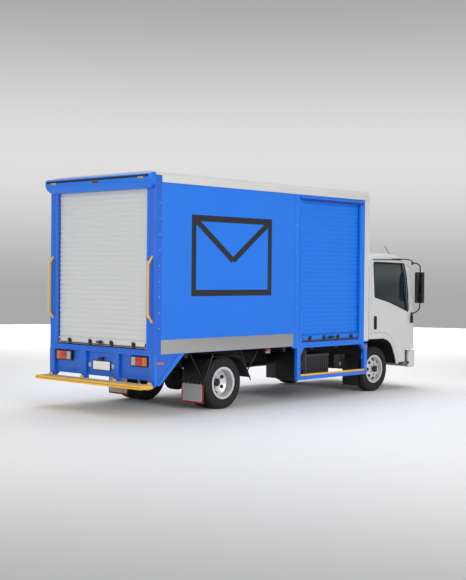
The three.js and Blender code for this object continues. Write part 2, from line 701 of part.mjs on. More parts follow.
const CAB_NOSE = [[6266, 652], [6268, 800], [6256, 1050], [6238, 1310], [6166, 1600], [6078, 1900],
  [6000, 2055], [5905, 2150], [5790, 2212], [5640, 2252]];
const CAB_OUTLINE = [
  [CAB_REAR, 862], [5250, 862], [5390, 815], [5480, 735], [5540, 620], [5592, 500], [5600, 430],
  [5900, 404], [5996, 398], [5996, 652], ...CAB_NOSE, [5400, 2276], [5100, 2270], [4905, 2245],
  [4850, 2205], [CAB_REAR, 2140],
];
const CABIN_OUTLINE = [
  [CAB_REAR + 55, CAB_FLOOR], [6185, CAB_FLOOR], [6186, 1050], [6172, 1310], [6102, 1600], [6014, 1890],
  [5942, 2030], [5860, 2100], [5760, 2155], [5620, 2194], [5400, 2216], [5100, 2210], [4930, 2190],
  [CAB_REAR + 55, 2130],
];
const DOOR_OUTLINE = [
  [4888, 962], [5240, 962], [5400, 915], [5510, 825], [5585, 700], [5645, 560], [5662, 432],
  [5985, 408], [5985, 1290], [5958, 1600], [5905, 1900], [5838, 2080], [5790, 2138], [5700, 2152],
  [4930, 2148], [4888, 2106],
];
const WINDOW_OUTLINE = soften([
  [5002, 1545], [5400, 1462], [5700, 1370], [5948, 1292], [5925, 1600], [5873, 1890],
  [5800, 2105], [4946, 2120],
], 24, 2);
const WINDSCREEN_OUTLINE = soften([[-875, 1335], [875, 1335], [800, 2050], [-800, 2050]], 60, 3);

// The skin's outline moved straight back, for panes and lamps set a little below the surface.
const NOSE_BACK = 5500;
const noseBehind = (distance) => [
  [NOSE_BACK, 652], ...CAB_NOSE.map(([x, z]) => [x - distance, z]), [NOSE_BACK, 2252],
];

function inset(outlineYZ, outer, thickness) {
  const behind = noseBehind(outer + thickness).map(([x, z]) => (x === NOSE_BACK ? [x - 50, z] : [x, z]));
  const skin = cut(lofted(noseBehind(outer), CAB_HALF), lofted(behind, CAB_HALF));
  return common(skin, prismYZ(outlineYZ, 5700, 6400));
}

const GRILLE_OUTLINE = soften([[-590, 745], [590, 745], [560, 985], [-560, 985]], 25, 2);

function headlampOutline(side) {
  const right = soften([[650, 720], [905, 735], [905, 905], [690, 930]], 25, 2);
  return side > 0 ? right : right.map(([y, z]) => [-y, z]).reverse();
}

// Room ahead of each door's front edge, where the outer skin swings forward as the door opens.
function hingeRelief(side) {
  const outline = [[5970, 1285], [6000, 1285], [5988, 1490], [5955, 1490]];
  return sidePrismXZ(side, outline, CAB_HALF - 14, CAB_HALF + 100);
}

// The bracket under the mirror's lower knuckle, and the stay from the gutter to its upper one.
function mirrorFixings(side) {
  const [x, y] = [MIRROR_PIVOT_X, MIRROR_PIVOT_Y];
  const bracketTop = MIRROR_LOW_KNUCKLE - GAP;
  const [bracketBottom, insideSkin] = [1100, 970];
  const half = MIRROR_KNUCKLE_RADIUS;
  const bracket = sideBlock(side, x - half, x + half, insideSkin, y + half, bracketBottom, bracketTop);
  const stayEnd = MIRROR_HIGH_KNUCKLE + MIRROR_KNUCKLE_HEIGHT + 11;
  const stay = tube([
    [5380, side * 972, 2176], [5480, side * 1000, 2178], [5840, side * 1008, 2178],
    [5960, side * 1018, 2168], [x, side * y, stayEnd],
  ], 9, 6, 14);
  return [bracket, stay];
}

function cabShell() {
  const tunnel = block(CAB_REAR - 10, 6130, -500, 500, 300, 925);
  const noseSpace = block(5990, 6150, -800, 800, 600, 925);
  const treads = bothSides((side) => sideBlock(side, 5670, 5930, 720, 1010, 470, CAB_FLOOR + 20));
  const doorwayIn = CAB_HALF - CAB_SKIN - 5;
  const doorways = bothSides((side) => sidePrismXZ(side, grow(DOOR_OUTLINE, 5), doorwayIn, CAB_HALF + 100));
  const lamps = bothSides((side) => prismYZ(grow(headlampOutline(side), 3), 6000, 6400));
  const shell = cut(
    lofted(CAB_OUTLINE, CAB_HALF),
    lofted(CABIN_OUTLINE, CAB_HALF - CAB_SKIN),
    tunnel,
    noseSpace,
    ...treads,
    ...doorways,
    ...bothSides(hingeRelief),
    ...lamps,
    prismYZ(grow(GRILLE_OUTLINE, 3), 6000, 6400),
    prismYZ(grow(WINDSCREEN_OUTLINE, 2), 5700, 6400),
  );
  return join(shell, ...SIDES.flatMap(([, side]) => mirrorFixings(side)));
}

// The slot inside each door that the glass stands in and drops into.
const [SLOT_NEAR, SLOT_FAR] = [962, 976];

function cabDoor(side) {
  const [outer, inner] = [CAB_HALF, CAB_HALF - CAB_SKIN];
  const leaf = common(lofted(CAB_OUTLINE, CAB_HALF), sidePrismXZ(side, DOOR_OUTLINE, inner, outer + 20));
  const opening = sidePrismXZ(side, WINDOW_OUTLINE, inner - 20, outer + 20);
  const channel = sidePrismXZ(side, grow(WINDOW_OUTLINE, 12), SLOT_NEAR, SLOT_FAR);
  const pocket = sidePrismXZ(side, [
    [4932, 1060], [5966, 846], [5966, 1290], [5400, 1500], [5010, 1600], [5010, 2122], [4932, 2122],
  ], SLOT_NEAR, SLOT_FAR);
  return cut(leaf, opening, channel, pocket);
}

function doorGlass(side) {
  return sidePrismXZ(side, grow(WINDOW_OUTLINE, 8), SLOT_NEAR + 4, SLOT_FAR - 4);
}

const WHEEL_CENTRE = new THREE.Vector3(5620, 450, 1500);
const COLUMN_AXIS = new THREE.Vector3(-0.45, 0, 0.893).normalize();

function alongColumn(distance) {
  return WHEEL_CENTRE.clone().addScaledVector(COLUMN_AXIS, distance).toArray();
}

function steeringWheel() {
  const section = [[188, -14], [208, -14], [214, 0], [208, 14], [188, 14], [182, 0]];
  const rim = turned(closedLoop(section.reverse()), 20);
  const hub = turned([[0, -36], [42, -36], [60, 4], [0, 4]], 12);
  const spokes = [block(-190, 190, -12, 0, -16, 16), block(-16, 16, -12, 0, -190, 0)];
  const wheel = join(rim, hub, ...spokes);
  const turn = new THREE.Quaternion().setFromUnitVectors(new THREE.Vector3(0, 1, 0), COLUMN_AXIS);
  return wheel.applyQuaternion(turn).translate(...WHEEL_CENTRE.toArray());
}

function dashboard() {
  const outline = [[5885, 1080], [6140, 1060], [6140, 1285], [6000, 1318], [5905, 1270]];
  const column = tube([alongColumn(-40), alongColumn(-545)], 38, 8);
  const bracket = block(5780, 5920, 400, 500, 1130, 1200);
  return join(prismXZ(outline, -815, 815), column, bracket);
}

function seat(y0, y1) {
  const base = block(4960, 5380, y0 + 40, y1 - 40, CAB_FLOOR + GAP, 1190);
  const cushionSide = soften([[4950, 1180], [5450, 1200], [5460, 1310], [4950, 1290]], 30, 2);
  const backSide = soften([[4960, 1260], [5070, 1270], [5010, 1960], [4905, 1960]], 30, 2);
  return join(base, prismXZ(cushionSide, y0, y1), prismXZ(backSide, y0 + 10, y1 - 10));
}

function mirror(side) {
  const head = soften([[6095, 1016], [6178, 1036], [6178, 1160], [6140, 1176], [6095, 1176]], 14, 1);
  const flat = head.map(([x, y]) => [x, side * y]);
  const outline = side < 0 ? flat.reverse() : flat;
  const [housingLow, housingHeight] = [1434, 532];
  const housing = new THREE.ExtrudeGeometry(shapeOf(outline), { depth: housingHeight, bevelEnabled: false })
    .translate(0, 0, housingLow);
  const route = [
    [MIRROR_PIVOT_X, MIRROR_PIVOT_Y, 2112], [6066, 1056, 2116], [6112, 1092, 2090],
    [6136, 1105, 2030], [6136, 1105, 1700], [6136, 1105, 1400], [6122, 1096, 1330],
    [6078, 1066, 1285], [MIRROR_PIVOT_X, MIRROR_PIVOT_Y, 1252],
  ];
  const arm = tube(route.map(([x, y, z]) => [x, side * y, z]), 11, 7, 22);
  const pivot = (z) => [MIRROR_PIVOT_X, side * MIRROR_PIVOT_Y, z];
  const knuckles = [MIRROR_LOW_KNUCKLE, MIRROR_HIGH_KNUCKLE].map((z) => (
    tube([pivot(z), pivot(z + MIRROR_KNUCKLE_HEIGHT)], MIRROR_KNUCKLE_RADIUS, 10)));
  return join(housing, arm, ...knuckles);
}

const SCREEN_LEAN = Math.atan2(6238 - 6078, 1900 - 1310);

function wiper() {
  const arm = block(-6, 4, 0, 430, -8, 8);
  const blade = block(-14, -5, 90, 560, -5, 5);
  const boss = block(-12, 6, -22, 22, -22, 22);
  return join(arm, blade, boss).rotateY(-SCREEN_LEAN);
}

function antenna() {
  const foot = tube([[ANTENNA_X, ANTENNA_Y - 18, ANTENNA_Z], [ANTENNA_X, ANTENNA_Y + 18, ANTENNA_Z]], 12, 10);
  const whip = tube([
    [ANTENNA_X, ANTENNA_Y, ANTENNA_Z], [ANTENNA_X - 55, ANTENNA_Y, ANTENNA_Z + 45],
    [ANTENNA_X - 170, ANTENNA_Y, ANTENNA_Z + 150],
  ], 5, 6, 6);
  return join(foot, whip);
}

function frontBumper() {
  const back = 6150;
  const shell = [
    [back, 340], [6225, 335], [6262, 380], [BUMPER_FRONT, 480], [6266, 590], [6250, 622], [back, 622],
  ];
  const outer = lofted(shell, 985);
  const hollow = lofted([[6100, 370], [6215, 368], [6225, 480], [6220, 590], [6100, 592]], 940);
  const horns = bothSides((side) => (
    sideBlock(side, FRAME_FRONT + GAP, back + 10, FRAME_RAIL_IN, FRAME_RAIL_OUT, FRAME_BOTTOM, 615)));
  const beam = block(back - 30, back + 10, -FRAME_RAIL_OUT - 10, FRAME_RAIL_OUT + 10, FRAME_BOTTOM, 612);
  return join(cut(outer, hollow), ...horns, beam);
}

// ---------- assembly ----------
piece('chassis_frame', chassisFrame(), BLACK_STEEL);
piece('rear_axle', rearAxle(), BLACK_STEEL);
piece('front_axle', frontAxle(), BLACK_STEEL);
piece('engine_gearbox', engineAndGearbox(), STEEL);
piece('propeller_shaft', propellerShaft(), BLACK_STEEL);
piece('fuel_tank', fuelTank(), BLACK_STEEL);
piece('battery_box', batteryBox(), BLACK_PLASTIC);
wheels();

piece('cargo_floor', cargoFloor(), STEEL);
piece('roof_panel', roofPanel(), ALUMINIUM);
piece('right_side_wall', rightSideWall(), BLUE);
piece('left_side_wall', leftSideWall(), BLUE);
piece('front_wall', frontWall(), BLUE);
piece('rear_frame', rearFrame(), BLUE);
piece('rear_hood', rearHood(), BLUE);
piece('step_bumper', stepBumper(), YELLOW);
for (const [name, side] of SIDES) {
  piece(`handrail_${name}`, handrail(side), YELLOW);
  piece(`tail_lamp_${name}`, tailLamp(side), LAMP_RED);
  piece(`mudguard_${name}`, mudguard(side), BLACK_PLASTIC);
}
rearShutter();
sideShutter();

piece('front_bumper', frontBumper(), WHITE);
piece('cab_shell', cabShell(), WHITE);
piece('windscreen', inset(WINDSCREEN_OUTLINE, 8, 6), GLASS);
piece('grille', inset(GRILLE_OUTLINE, 4, 40), BLACK_PLASTIC);
for (const [name, side] of SIDES) {
  piece(`headlamp_${name}`, inset(headlampOutline(side), 2, 60), LAMP_CLEAR);
  piece(`door_${name}`, cabDoor(side), WHITE);
  piece(`door_glass_${name}`, doorGlass(side), GLASS);
  piece(`mirror_${name}`, mirror(side), BLACK_PLASTIC);
}
piece('wiper_right', wiper(), BLACK_PLASTIC, [WIPER_X, WIPER_RIGHT_Y, WIPER_Z]);
piece('wiper_left', wiper(), BLACK_PLASTIC, [WIPER_X, WIPER_LEFT_Y, WIPER_Z]);
piece('antenna', antenna(), BLACK_PLASTIC);
piece('dashboard', dashboard(), BLACK_PLASTIC);
piece('driver_seat', seat(200, 760), FABRIC);
piece('passenger_seat', seat(-860, 120), FABRIC);
piece('steering_wheel', steeringWheel(), BLACK_PLASTIC);

export default truck;
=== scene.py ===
"""The looks of a mail delivery truck: paint, rubber, slats, rivets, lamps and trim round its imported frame."""
import logging
import math
from dataclasses import dataclass, field
from enum import Enum
from typing import Callable, Iterable, Sequence

import bmesh
import bpy
from mathutils import Matrix, Vector


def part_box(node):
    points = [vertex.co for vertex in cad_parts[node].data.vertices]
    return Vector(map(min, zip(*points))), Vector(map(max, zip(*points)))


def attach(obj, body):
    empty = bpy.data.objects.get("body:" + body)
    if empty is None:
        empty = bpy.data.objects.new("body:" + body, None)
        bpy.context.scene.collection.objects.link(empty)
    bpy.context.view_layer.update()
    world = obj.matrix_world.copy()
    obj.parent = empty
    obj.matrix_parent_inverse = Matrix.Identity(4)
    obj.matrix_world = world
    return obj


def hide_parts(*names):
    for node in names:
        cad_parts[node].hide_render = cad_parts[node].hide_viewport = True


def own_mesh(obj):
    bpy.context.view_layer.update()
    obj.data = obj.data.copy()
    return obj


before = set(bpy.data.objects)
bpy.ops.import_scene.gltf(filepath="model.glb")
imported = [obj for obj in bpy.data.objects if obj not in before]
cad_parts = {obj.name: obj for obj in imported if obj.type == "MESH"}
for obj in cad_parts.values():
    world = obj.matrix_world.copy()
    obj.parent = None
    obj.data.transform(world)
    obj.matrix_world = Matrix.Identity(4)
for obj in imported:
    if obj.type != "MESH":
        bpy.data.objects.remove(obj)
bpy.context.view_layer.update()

LOG = logging.getLogger("truck")
MM = 0.001
SIDES = (("right", -1), ("left", 1))
PANEL_SKIN = 1.095
SEAM_RIVET_PITCH = 0.207
Point = Sequence[float]


class Axis(Enum):
    """The three directions of the truck's frame."""

    X = Vector((1, 0, 0))
    Y = Vector((0, 1, 0))
    Z = Vector((0, 0, 1))


@dataclass(frozen=True)
class Box:
    """The lowest and highest corner of a part, in metres."""

    lo: Vector
    hi: Vector

    @property
    def centre(self) -> Vector:
        """The middle of the box."""
        return (self.lo + self.hi) / 2

    @property
    def size(self) -> Vector:
        """The length of each side."""
        return self.hi - self.lo


def box(node: str) -> Box:
    """Gives the box of a CAD node.

    Args:
        node: The node's name.

    Returns:
        Its box at rest.
    """
    return Box(*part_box(node))


# ---------- finishes ----------
def linear(code: str) -> tuple[float, float, float, float]:
    """Turns an sRGB hex colour into linear light.

    Args:
        code: Six hex digits, as in "1f6fe0".

    Returns:
        Red, green, blue and an alpha of 1.
    """
    parts = [int(code[i:i + 2], 16) / 255 for i in (0, 2, 4)]
    light = [c / 12.92 if c <= 0.04045 else ((c + 0.055) / 1.055) ** 2.4 for c in parts]
    return (light[0], light[1], light[2], 1.0)


def add_node(tree: bpy.types.NodeTree, kind: str, values: dict | None = None,
             links: dict | None = None, **settings: object) -> bpy.types.Node:
    """Adds a node with its settings, its values and its incoming links.

    Args:
        tree: The tree that gets the node.
        kind: The node's type name.
        values: Socket name or number to default value.
        links: Socket name or number to the output socket that feeds it.
        settings: Attributes of the node itself.

    Returns:
        The new node.
    """
    node = tree.nodes.new(kind)
    for name, value in settings.items():
        setattr(node, name, value)
    for name, value in (values or {}).items():
        node.inputs[name].default_value = value
    for name, source in (links or {}).items():
        tree.links.new(source, node.inputs[name])
    return node


@dataclass(frozen=True)
class Finish:
    """A surface finish: its colour, its gloss, its fine texture and how much road dust lies on it."""

    name: str
    colour: str
    roughness: float
    metallic: float = 0.0
    coat: float = 0.0
    grain_mm: float = 3.0
    bump_mm: float = 0.15
    mottle: float = 0.06
    dust: float = 0.25
    stretch: tuple[float, float, float] = (1.0, 1.0, 1.0)
    see_through: float = 0.0

    def pattern(self, tree: bpy.types.NodeTree, place: bpy.types.NodeSocket) -> bpy.types.NodeSocket:
        """Makes the height of the fine texture, from 0 to 1.

        Args:
            tree: The tree that gets the nodes.
            place: The stretched place on the surface.

        Returns:
            The height's socket.
        """
        noise = add_node(tree, "ShaderNodeTexNoise", {"Scale": 1 / (self.grain_mm * MM), "Detail": 3.0},
                         {"Vector": place})
        return noise.outputs[0]

    def material(self) -> bpy.types.Material:
        """Builds the material once, and gives the same one each time after.

        Returns:
            The material.
        """
        made = bpy.data.materials.get(self.name)
        if made:
            return made
        made = bpy.data.materials.new(self.name)
        made.use_nodes = True
        tree = made.node_tree
        shader = tree.nodes["Principled BSDF"]
        where = add_node(tree, "ShaderNodeTexCoord").outputs["Object"]
        place = add_node(tree, "ShaderNodeMapping", {"Scale": self.stretch}, {"Vector": where}).outputs[0]
        height = self.pattern(tree, place)
        clouds = add_node(tree, "ShaderNodeTexNoise", {"Scale": 2.6, "Detail": 5.0},
                          {"Vector": where}).outputs[0]
        spread = add_node(tree, "ShaderNodeMapRange", {3: 1 - self.mottle, 4: 1 + self.mottle}, {0: clouds})
        colour = add_node(tree, "ShaderNodeVectorMath", {0: linear(self.colour)[:3]},
                          {1: spread.outputs[0]},
                          operation="MULTIPLY")
        ground = add_node(tree, "ShaderNodeSeparateXYZ", None, {0: where}).outputs[2]
        low = add_node(tree, "ShaderNodeMapRange", {1: 0.95, 2: 0.05, 3: 0.0, 4: self.dust}, {0: ground})
        dusty = add_node(tree, "ShaderNodeMath", None, {0: low.outputs[0], 1: clouds}, operation="MULTIPLY")
        mixed = add_node(tree, "ShaderNodeMix", {7: linear("8f8a82")},
                         {0: dusty.outputs[0], 6: colour.outputs[0]},
                         data_type="RGBA")
        tree.links.new(mixed.outputs[2], shader.inputs["Base Color"])
        rough = add_node(tree, "ShaderNodeMapRange",
                         {3: max(0.02, self.roughness - 0.06), 4: min(1.0, self.roughness + 0.08)},
                         {0: height})
        tree.links.new(rough.outputs[0], shader.inputs["Roughness"])
        bump = add_node(tree, "ShaderNodeBump", {"Strength": 0.6, "Distance": self.bump_mm * MM},
                        {"Height": height})
        tree.links.new(bump.outputs[0], shader.inputs["Normal"])
        shader.inputs["Metallic"].default_value = self.metallic
        shader.inputs["Coat Weight"].default_value = self.coat
        shader.inputs["Coat Roughness"].default_value = 0.06
        shader.inputs["Transmission Weight"].default_value = self.see_through
        made.diffuse_color = linear(self.colour)
        return made


@dataclass(frozen=True)
class Weave(Finish):
    """A finish whose texture is crossed threads."""

    def pattern(self, tree: bpy.types.NodeTree, place: bpy.types.NodeSocket) -> bpy.types.NodeSocket:
        """Makes the height of warp and weft threads.

        Args:
            tree: The tree that gets the nodes.
            place: The stretched place on the surface.

        Returns:
            The height's socket.
        """
        waves = [add_node(tree, "ShaderNodeTexWave", {"Scale": 0.5 / (self.grain_mm * MM)},
                          {"Vector": place},
                          bands_direction=way).outputs[1] for way in ("X", "Y")]
        return add_node(tree, "ShaderNodeMath", None, {0: waves[0], 1: waves[1]},
                        operation="MULTIPLY").outputs[0]


@dataclass(frozen=True)
class Spangle(Finish):
    """A finish whose texture is zinc crystals."""

    def pattern(self, tree: bpy.types.NodeTree, place: bpy.types.NodeSocket) -> bpy.types.NodeSocket:
        """Makes the height of the crystals."""
        cells = add_node(tree, "ShaderNodeTexVoronoi", {"Scale": 1 / (self.grain_mm * MM)},
                         {"Vector": place})
        return cells.outputs[0]


# Two-pack coach paint, sprayed: a deep even colour under a clear gloss, with slight orange peel.
BLUE_PAINT = Finish("blue_coach_paint", "0372e2", 0.38, coat=0.12, grain_mm=9, bump_mm=0.05, mottle=0.03,
                    dust=0.03)
# Chassis enamel on welded steel: deeper in tone than the panels, with less gloss.
DEEP_BLUE = Finish("blue_chassis_enamel", "0560d0", 0.42, coat=0.25, grain_mm=5, bump_mm=0.08, dust=0.06)
# Coil-coated slats in blue: the colour is baked on before rolling, so it is even and satin.
BLUE_SLAT = Finish("blue_coil_coated_slat", "0476e6", 0.42, coat=0.1, grain_mm=6, bump_mm=0.05, mottle=0.03,
                   dust=0.03)
# White cab paint under lacquer: a slightly grey white with a clear gloss.
WHITE_PAINT = Finish("white_cab_paint", "d2d2d1", 0.3, coat=0.4, grain_mm=9, bump_mm=0.04, mottle=0.02,
                     dust=0.04)
# Rain lip painted a deeper blue than the panel: painted shade, so that it reads as the shadow line over the
# doorway.
RAIN_LIP_SHADE = Finish("blue_rain_lip_painted_shade", "04308a", 0.5, grain_mm=6, bump_mm=0.05, dust=0.0)
# Coil-coated aluminium slats: a satin grey skin with a faint roll direction along their length.
SILVER_SLAT = Finish("grey_coated_aluminium_slat", "d6d7d7", 0.42, 0.2, grain_mm=4, bump_mm=0.06,
                     mottle=0.03,
                     stretch=(1, 0.08, 1))
# Extruded aluminium left bare: fine lines along the extrusion.
ALUMINIUM = Finish("mill_extruded_aluminium", "b2b2b0", 0.38, 0.85, grain_mm=2.5, bump_mm=0.06,
                   stretch=(0.05, 1, 1))
# Anodised extrusion: a pale, even satin with fine lines along its length.
ANODISED = Finish("anodised_aluminium_trim", "d8d8d6", 0.42, 0.2, grain_mm=2.5, bump_mm=0.05,
                  stretch=(0.05, 1, 1),
                  dust=0.03)
# Roof laminate with its gel coat: matt and pale, with faint clouds.
ROOF_SKIN = Finish("pale_roof_laminate", "c6c6c4", 0.5, grain_mm=12, mottle=0.08, dust=0.0)
# Moulded tyre rubber: nearly black and matt.
RUBBER = Finish("tyre_rubber", "0e0e0f", 0.75, grain_mm=4, bump_mm=0.4, mottle=0.12, dust=0.03)
# Grey rubber sheet: matt, with dust in its grain.
FLAP_GREY = Finish("grey_flap_rubber", "b9babb", 0.6, grain_mm=5, bump_mm=0.2, dust=0.2)
# Wheel enamel on pressed steel: pale silver with a soft gloss.
RIM = Finish("silver_wheel_enamel", "d6d7d8", 0.34, 0.6, coat=0.2, grain_mm=3, mottle=0.05, dust=0.05)
# Bare steel deep in a hole, drawn as a near-black disc: painted shade, as almost no light comes back.
DARK_HOLE = Finish("shadowed_steel", "0b0b0c", 0.8, dust=0.1)
# Enamel sprayed on chassis rails: black, with orange peel and dirt.
FRAME_BLACK = Finish("black_chassis_enamel", "0d0d0e", 0.5, 0.1, grain_mm=4, bump_mm=0.3, mottle=0.15,
                     dust=0.06)
# Iron cast in sand: dark and rough, with patches of tone.
CAST_IRON = Finish("sand_cast_iron", "1c1b1a", 0.7, 0.5, grain_mm=3, bump_mm=0.6, mottle=0.2, dust=0.1)
# Injection-moulded polypropylene: black with a fine grain.
PLASTIC = Finish("moulded_black_plastic", "121213", 0.5, grain_mm=1.5, bump_mm=0.15, dust=0.06)
# The same moulding in dark grey, which sets ribs and lids off from the black.
GREY_PLASTIC = Finish("moulded_grey_plastic", "3a3b3d", 0.5, grain_mm=1.5, bump_mm=0.1, dust=0.06)
# Extruded rubber: dull black, so that it draws a line round what it seals.
SEAL = Finish("black_rubber_seal", "121213", 0.7, grain_mm=1.0, dust=0.1)
# Safety enamel on steel: a strong, slightly orange yellow with some gloss.
YELLOW = Finish("safety_yellow_enamel", "f0b41e", 0.4, coat=0.3, grain_mm=4, bump_mm=0.1, dust=0.03)
# Sand grit in resin: pale, warm and rough.
TREAD_TAN = Finish("grit_coated_tread", "c4b48c", 0.75, grain_mm=6, bump_mm=1.2, mottle=0.15, dust=0.1)
# Hot-dip zinc: grey metal broken up by crystals.
ZINC = Spangle("galvanised_steel", "a5a6a6", 0.42, 0.8, grain_mm=14, bump_mm=0.05)
# Passivated brass clips: pale, warm and satin.
BRASS = Finish("pale_brass_clip", "b7a27a", 0.4, 0.5, grain_mm=2, dust=0.05)
# Bronze-plated steel: dark, warm metal with highlights.
LATCH = Finish("bronze_plated_latch", "6a563a", 0.34, 0.75, grain_mm=2, dust=0.1)
# Blackened castings: brown-black with a little shine.
LATCH_DARK = Finish("blackened_latch_casting", "2a2119", 0.45, 0.4, grain_mm=2, bump_mm=0.3, dust=0.05)
# Flap edging: solid red rubber, a little glossy.
WHITE_RUBBER = Finish("white_rubber_line", "cfdedf", 0.5, grain_mm=4, bump_mm=0.1, dust=0.05)
RED_RUBBER = Finish("red_rubber_edging", "b80f18", 0.5, grain_mm=4, bump_mm=0.1, dust=0.05)
# Plated fastener heads: small bright points.
BOLT = Finish("plated_fastener", "b8b9ba", 0.3, 0.85, grain_mm=1, dust=0.2)
# Birch plywood with a brown resin film: the grain runs along the deck.
PLYWOOD = Finish("resin_coated_plywood", "6b5338", 0.55, grain_mm=6, bump_mm=0.3, mottle=0.2,
                 stretch=(0.06, 1, 1))
# Woven polyester: matt, with its threads drawn coarse enough to show.
CLOTH = Weave("woven_seat_cloth", "44474c", 0.9, grain_mm=6, bump_mm=0.8, mottle=0.1, dust=0.0)
# Cast vinyl film: a flat, even black with a slight sheen.
VINYL = Finish("dark_vinyl_film", "15181d", 0.45, grain_mm=5, bump_mm=0.02, mottle=0.02, dust=0.0)
# Blank plate in white enamel: smooth and plain.
WHITE_PLATE = Finish("white_plate_enamel", "ecece8", 0.35, grain_mm=3, mottle=0.02, dust=0.15)
# Tinted glass seen from outside reads dark and glossy; a thin pane lets a little of the cabin show.
GLASS = Finish("tinted_safety_glass", "1d3034", 0.06, coat=0.4, grain_mm=60, bump_mm=0.0, mottle=0.02,
               dust=0.0,
               see_through=0.35)
# Mirror glass painted near black: a painted reflection of the dark side of the road, which it mostly shows seen
# from behind the truck.
MIRROR_PAINTED_REFLECTION = Finish("mirror_glass_painted_reflection", "0b0d0e", 0.08, 0.2, coat=0.5, grain_mm=60, bump_mm=0.0,
                      dust=0.0)
# Moulded cab lining: pale grey and matt.
CAB_TRIM = Finish("pale_cab_trim", "8a8c8d", 0.7, grain_mm=2, bump_mm=0.2, dust=0.0)
# Moulded acrylic lenses: glossy, clear colours that pass a little light.
RED_LENS = Finish("red_acrylic_lens", "d4181c", 0.15, coat=0.6, grain_mm=5, bump_mm=0.5, see_through=0.2)
AMBER_LENS = Finish("amber_acrylic_lens", "e0701a", 0.15, coat=0.6, grain_mm=5, bump_mm=0.5,
                    see_through=0.2)
DARK_AMBER = Finish("dark_amber_lens", "8a2c10", 0.2, coat=0.5, grain_mm=5, bump_mm=0.4, see_through=0.1)
CLEAR_LENS = Finish("clear_acrylic_lens", "e3e7ea", 0.1, coat=0.6, grain_mm=5, bump_mm=0.4, see_through=0.5)


# ---------- geometry nodes ----------
def repeat_tree() -> bpy.types.NodeTree:
    """Builds the tree that repeats a shape: each copy is moved and turned one more step than the last.

    Returns:
        The tree, with its sizes as named inputs.
    """
    made = bpy.data.node_groups.get("repeat_shape")
    if made:
        return made
    tree = bpy.data.node_groups.new("repeat_shape", "GeometryNodeTree")
    face = tree.interface
    face.new_socket("Shape", in_out="INPUT", socket_type="NodeSocketGeometry")
    for name, kind in (("Count", "NodeSocketInt"), ("Step", "NodeSocketVector"),
                       ("Turn", "NodeSocketVector"),
                       ("Place", "NodeSocketVector"), ("Finish", "NodeSocketMaterial")):
        face.new_socket(name, in_out="INPUT", socket_type=kind)
    face.new_socket("Shapes", in_out="OUTPUT", socket_type="NodeSocketGeometry")
    given = add_node(tree, "NodeGroupInput").outputs
    line = add_node(tree, "GeometryNodeMeshLine", None, {"Count": given["Count"], "Offset": given["Step"]},
                    mode="OFFSET")
    index = add_node(tree, "GeometryNodeInputIndex").outputs[0]
    turned = add_node(tree, "ShaderNodeVectorMath", None, {0: given["Turn"], 1: index},
                      operation="MULTIPLY")
    copies = add_node(tree, "GeometryNodeInstanceOnPoints", None,
                      {"Points": line.outputs[0], "Instance": given["Shape"],
                       "Rotation": turned.outputs[0]})
    placed = add_node(tree, "GeometryNodeTransform", None,
                      {"Geometry": copies.outputs[0], "Translation": given["Place"]})
    real = add_node(tree, "GeometryNodeRealizeInstances", None, {0: placed.outputs[0]})
    dressed = add_node(tree, "GeometryNodeSetMaterial", None,
                       {"Geometry": real.outputs[0], "Material": given["Finish"]})
    add_node(tree, "NodeGroupOutput", None, {0: dressed.outputs[0]})
    return tree


def curve_through(points: Sequence[Point], steps: int = 6) -> list[Vector]:
    """Runs a smooth line through a few points.

    Args:
        points: The points it passes.
        steps: How many short pieces each stretch has.

    Returns:
        Points along the line.
    """
    knots = [Vector(p) for p in points]
    knots = [knots[0] * 2 - knots[1], *knots, knots[-1] * 2 - knots[-2]]
    line = []
    for i in range(1, len(knots) - 2):
        a, b, c, d = knots[i - 1:i + 3]
        for s in range(steps):
            t = s / steps
            line.append(0.5 * ((2 * b) + (c - a) * t + (2 * a - 5 * b + 4 * c - d) * t * t
                               + (3 * b - a - 3 * c + d) * t ** 3))
    return [*line, knots[-2]]


def arc(centre: tuple[float, float], radius: float, start: float, end: float,
        steps: int = 8) -> list[tuple[float, float]]:
    """Gives points on a round stretch of an outline, from one angle to another in degrees."""
    angles = [math.radians(start + (end - start) * i / steps) for i in range(steps + 1)]
    return [(centre[0] + radius * math.cos(a), centre[1] + radius * math.sin(a)) for a in angles]


def round_corners(width: float, height: float, radius: float, centre: tuple[float, float] = (0, 0)
                  ) -> list[tuple[float, float]]:
    """Gives the outline of a plate with round corners.

    Args:
        width: How wide it is.
        height: How high it is.
        radius: The corners' radius.
        centre: The plate's middle.

    Returns:
        The outline's points.
    """
    across, up = width / 2 - radius, height / 2 - radius
    corners = ((across, up, 0), (-across, up, 90), (-across, -up, 180), (across, -up, 270))
    return [p for x, y, a in corners for p in arc((centre[0] + x, centre[1] + y), radius, a, a + 90, 4)]


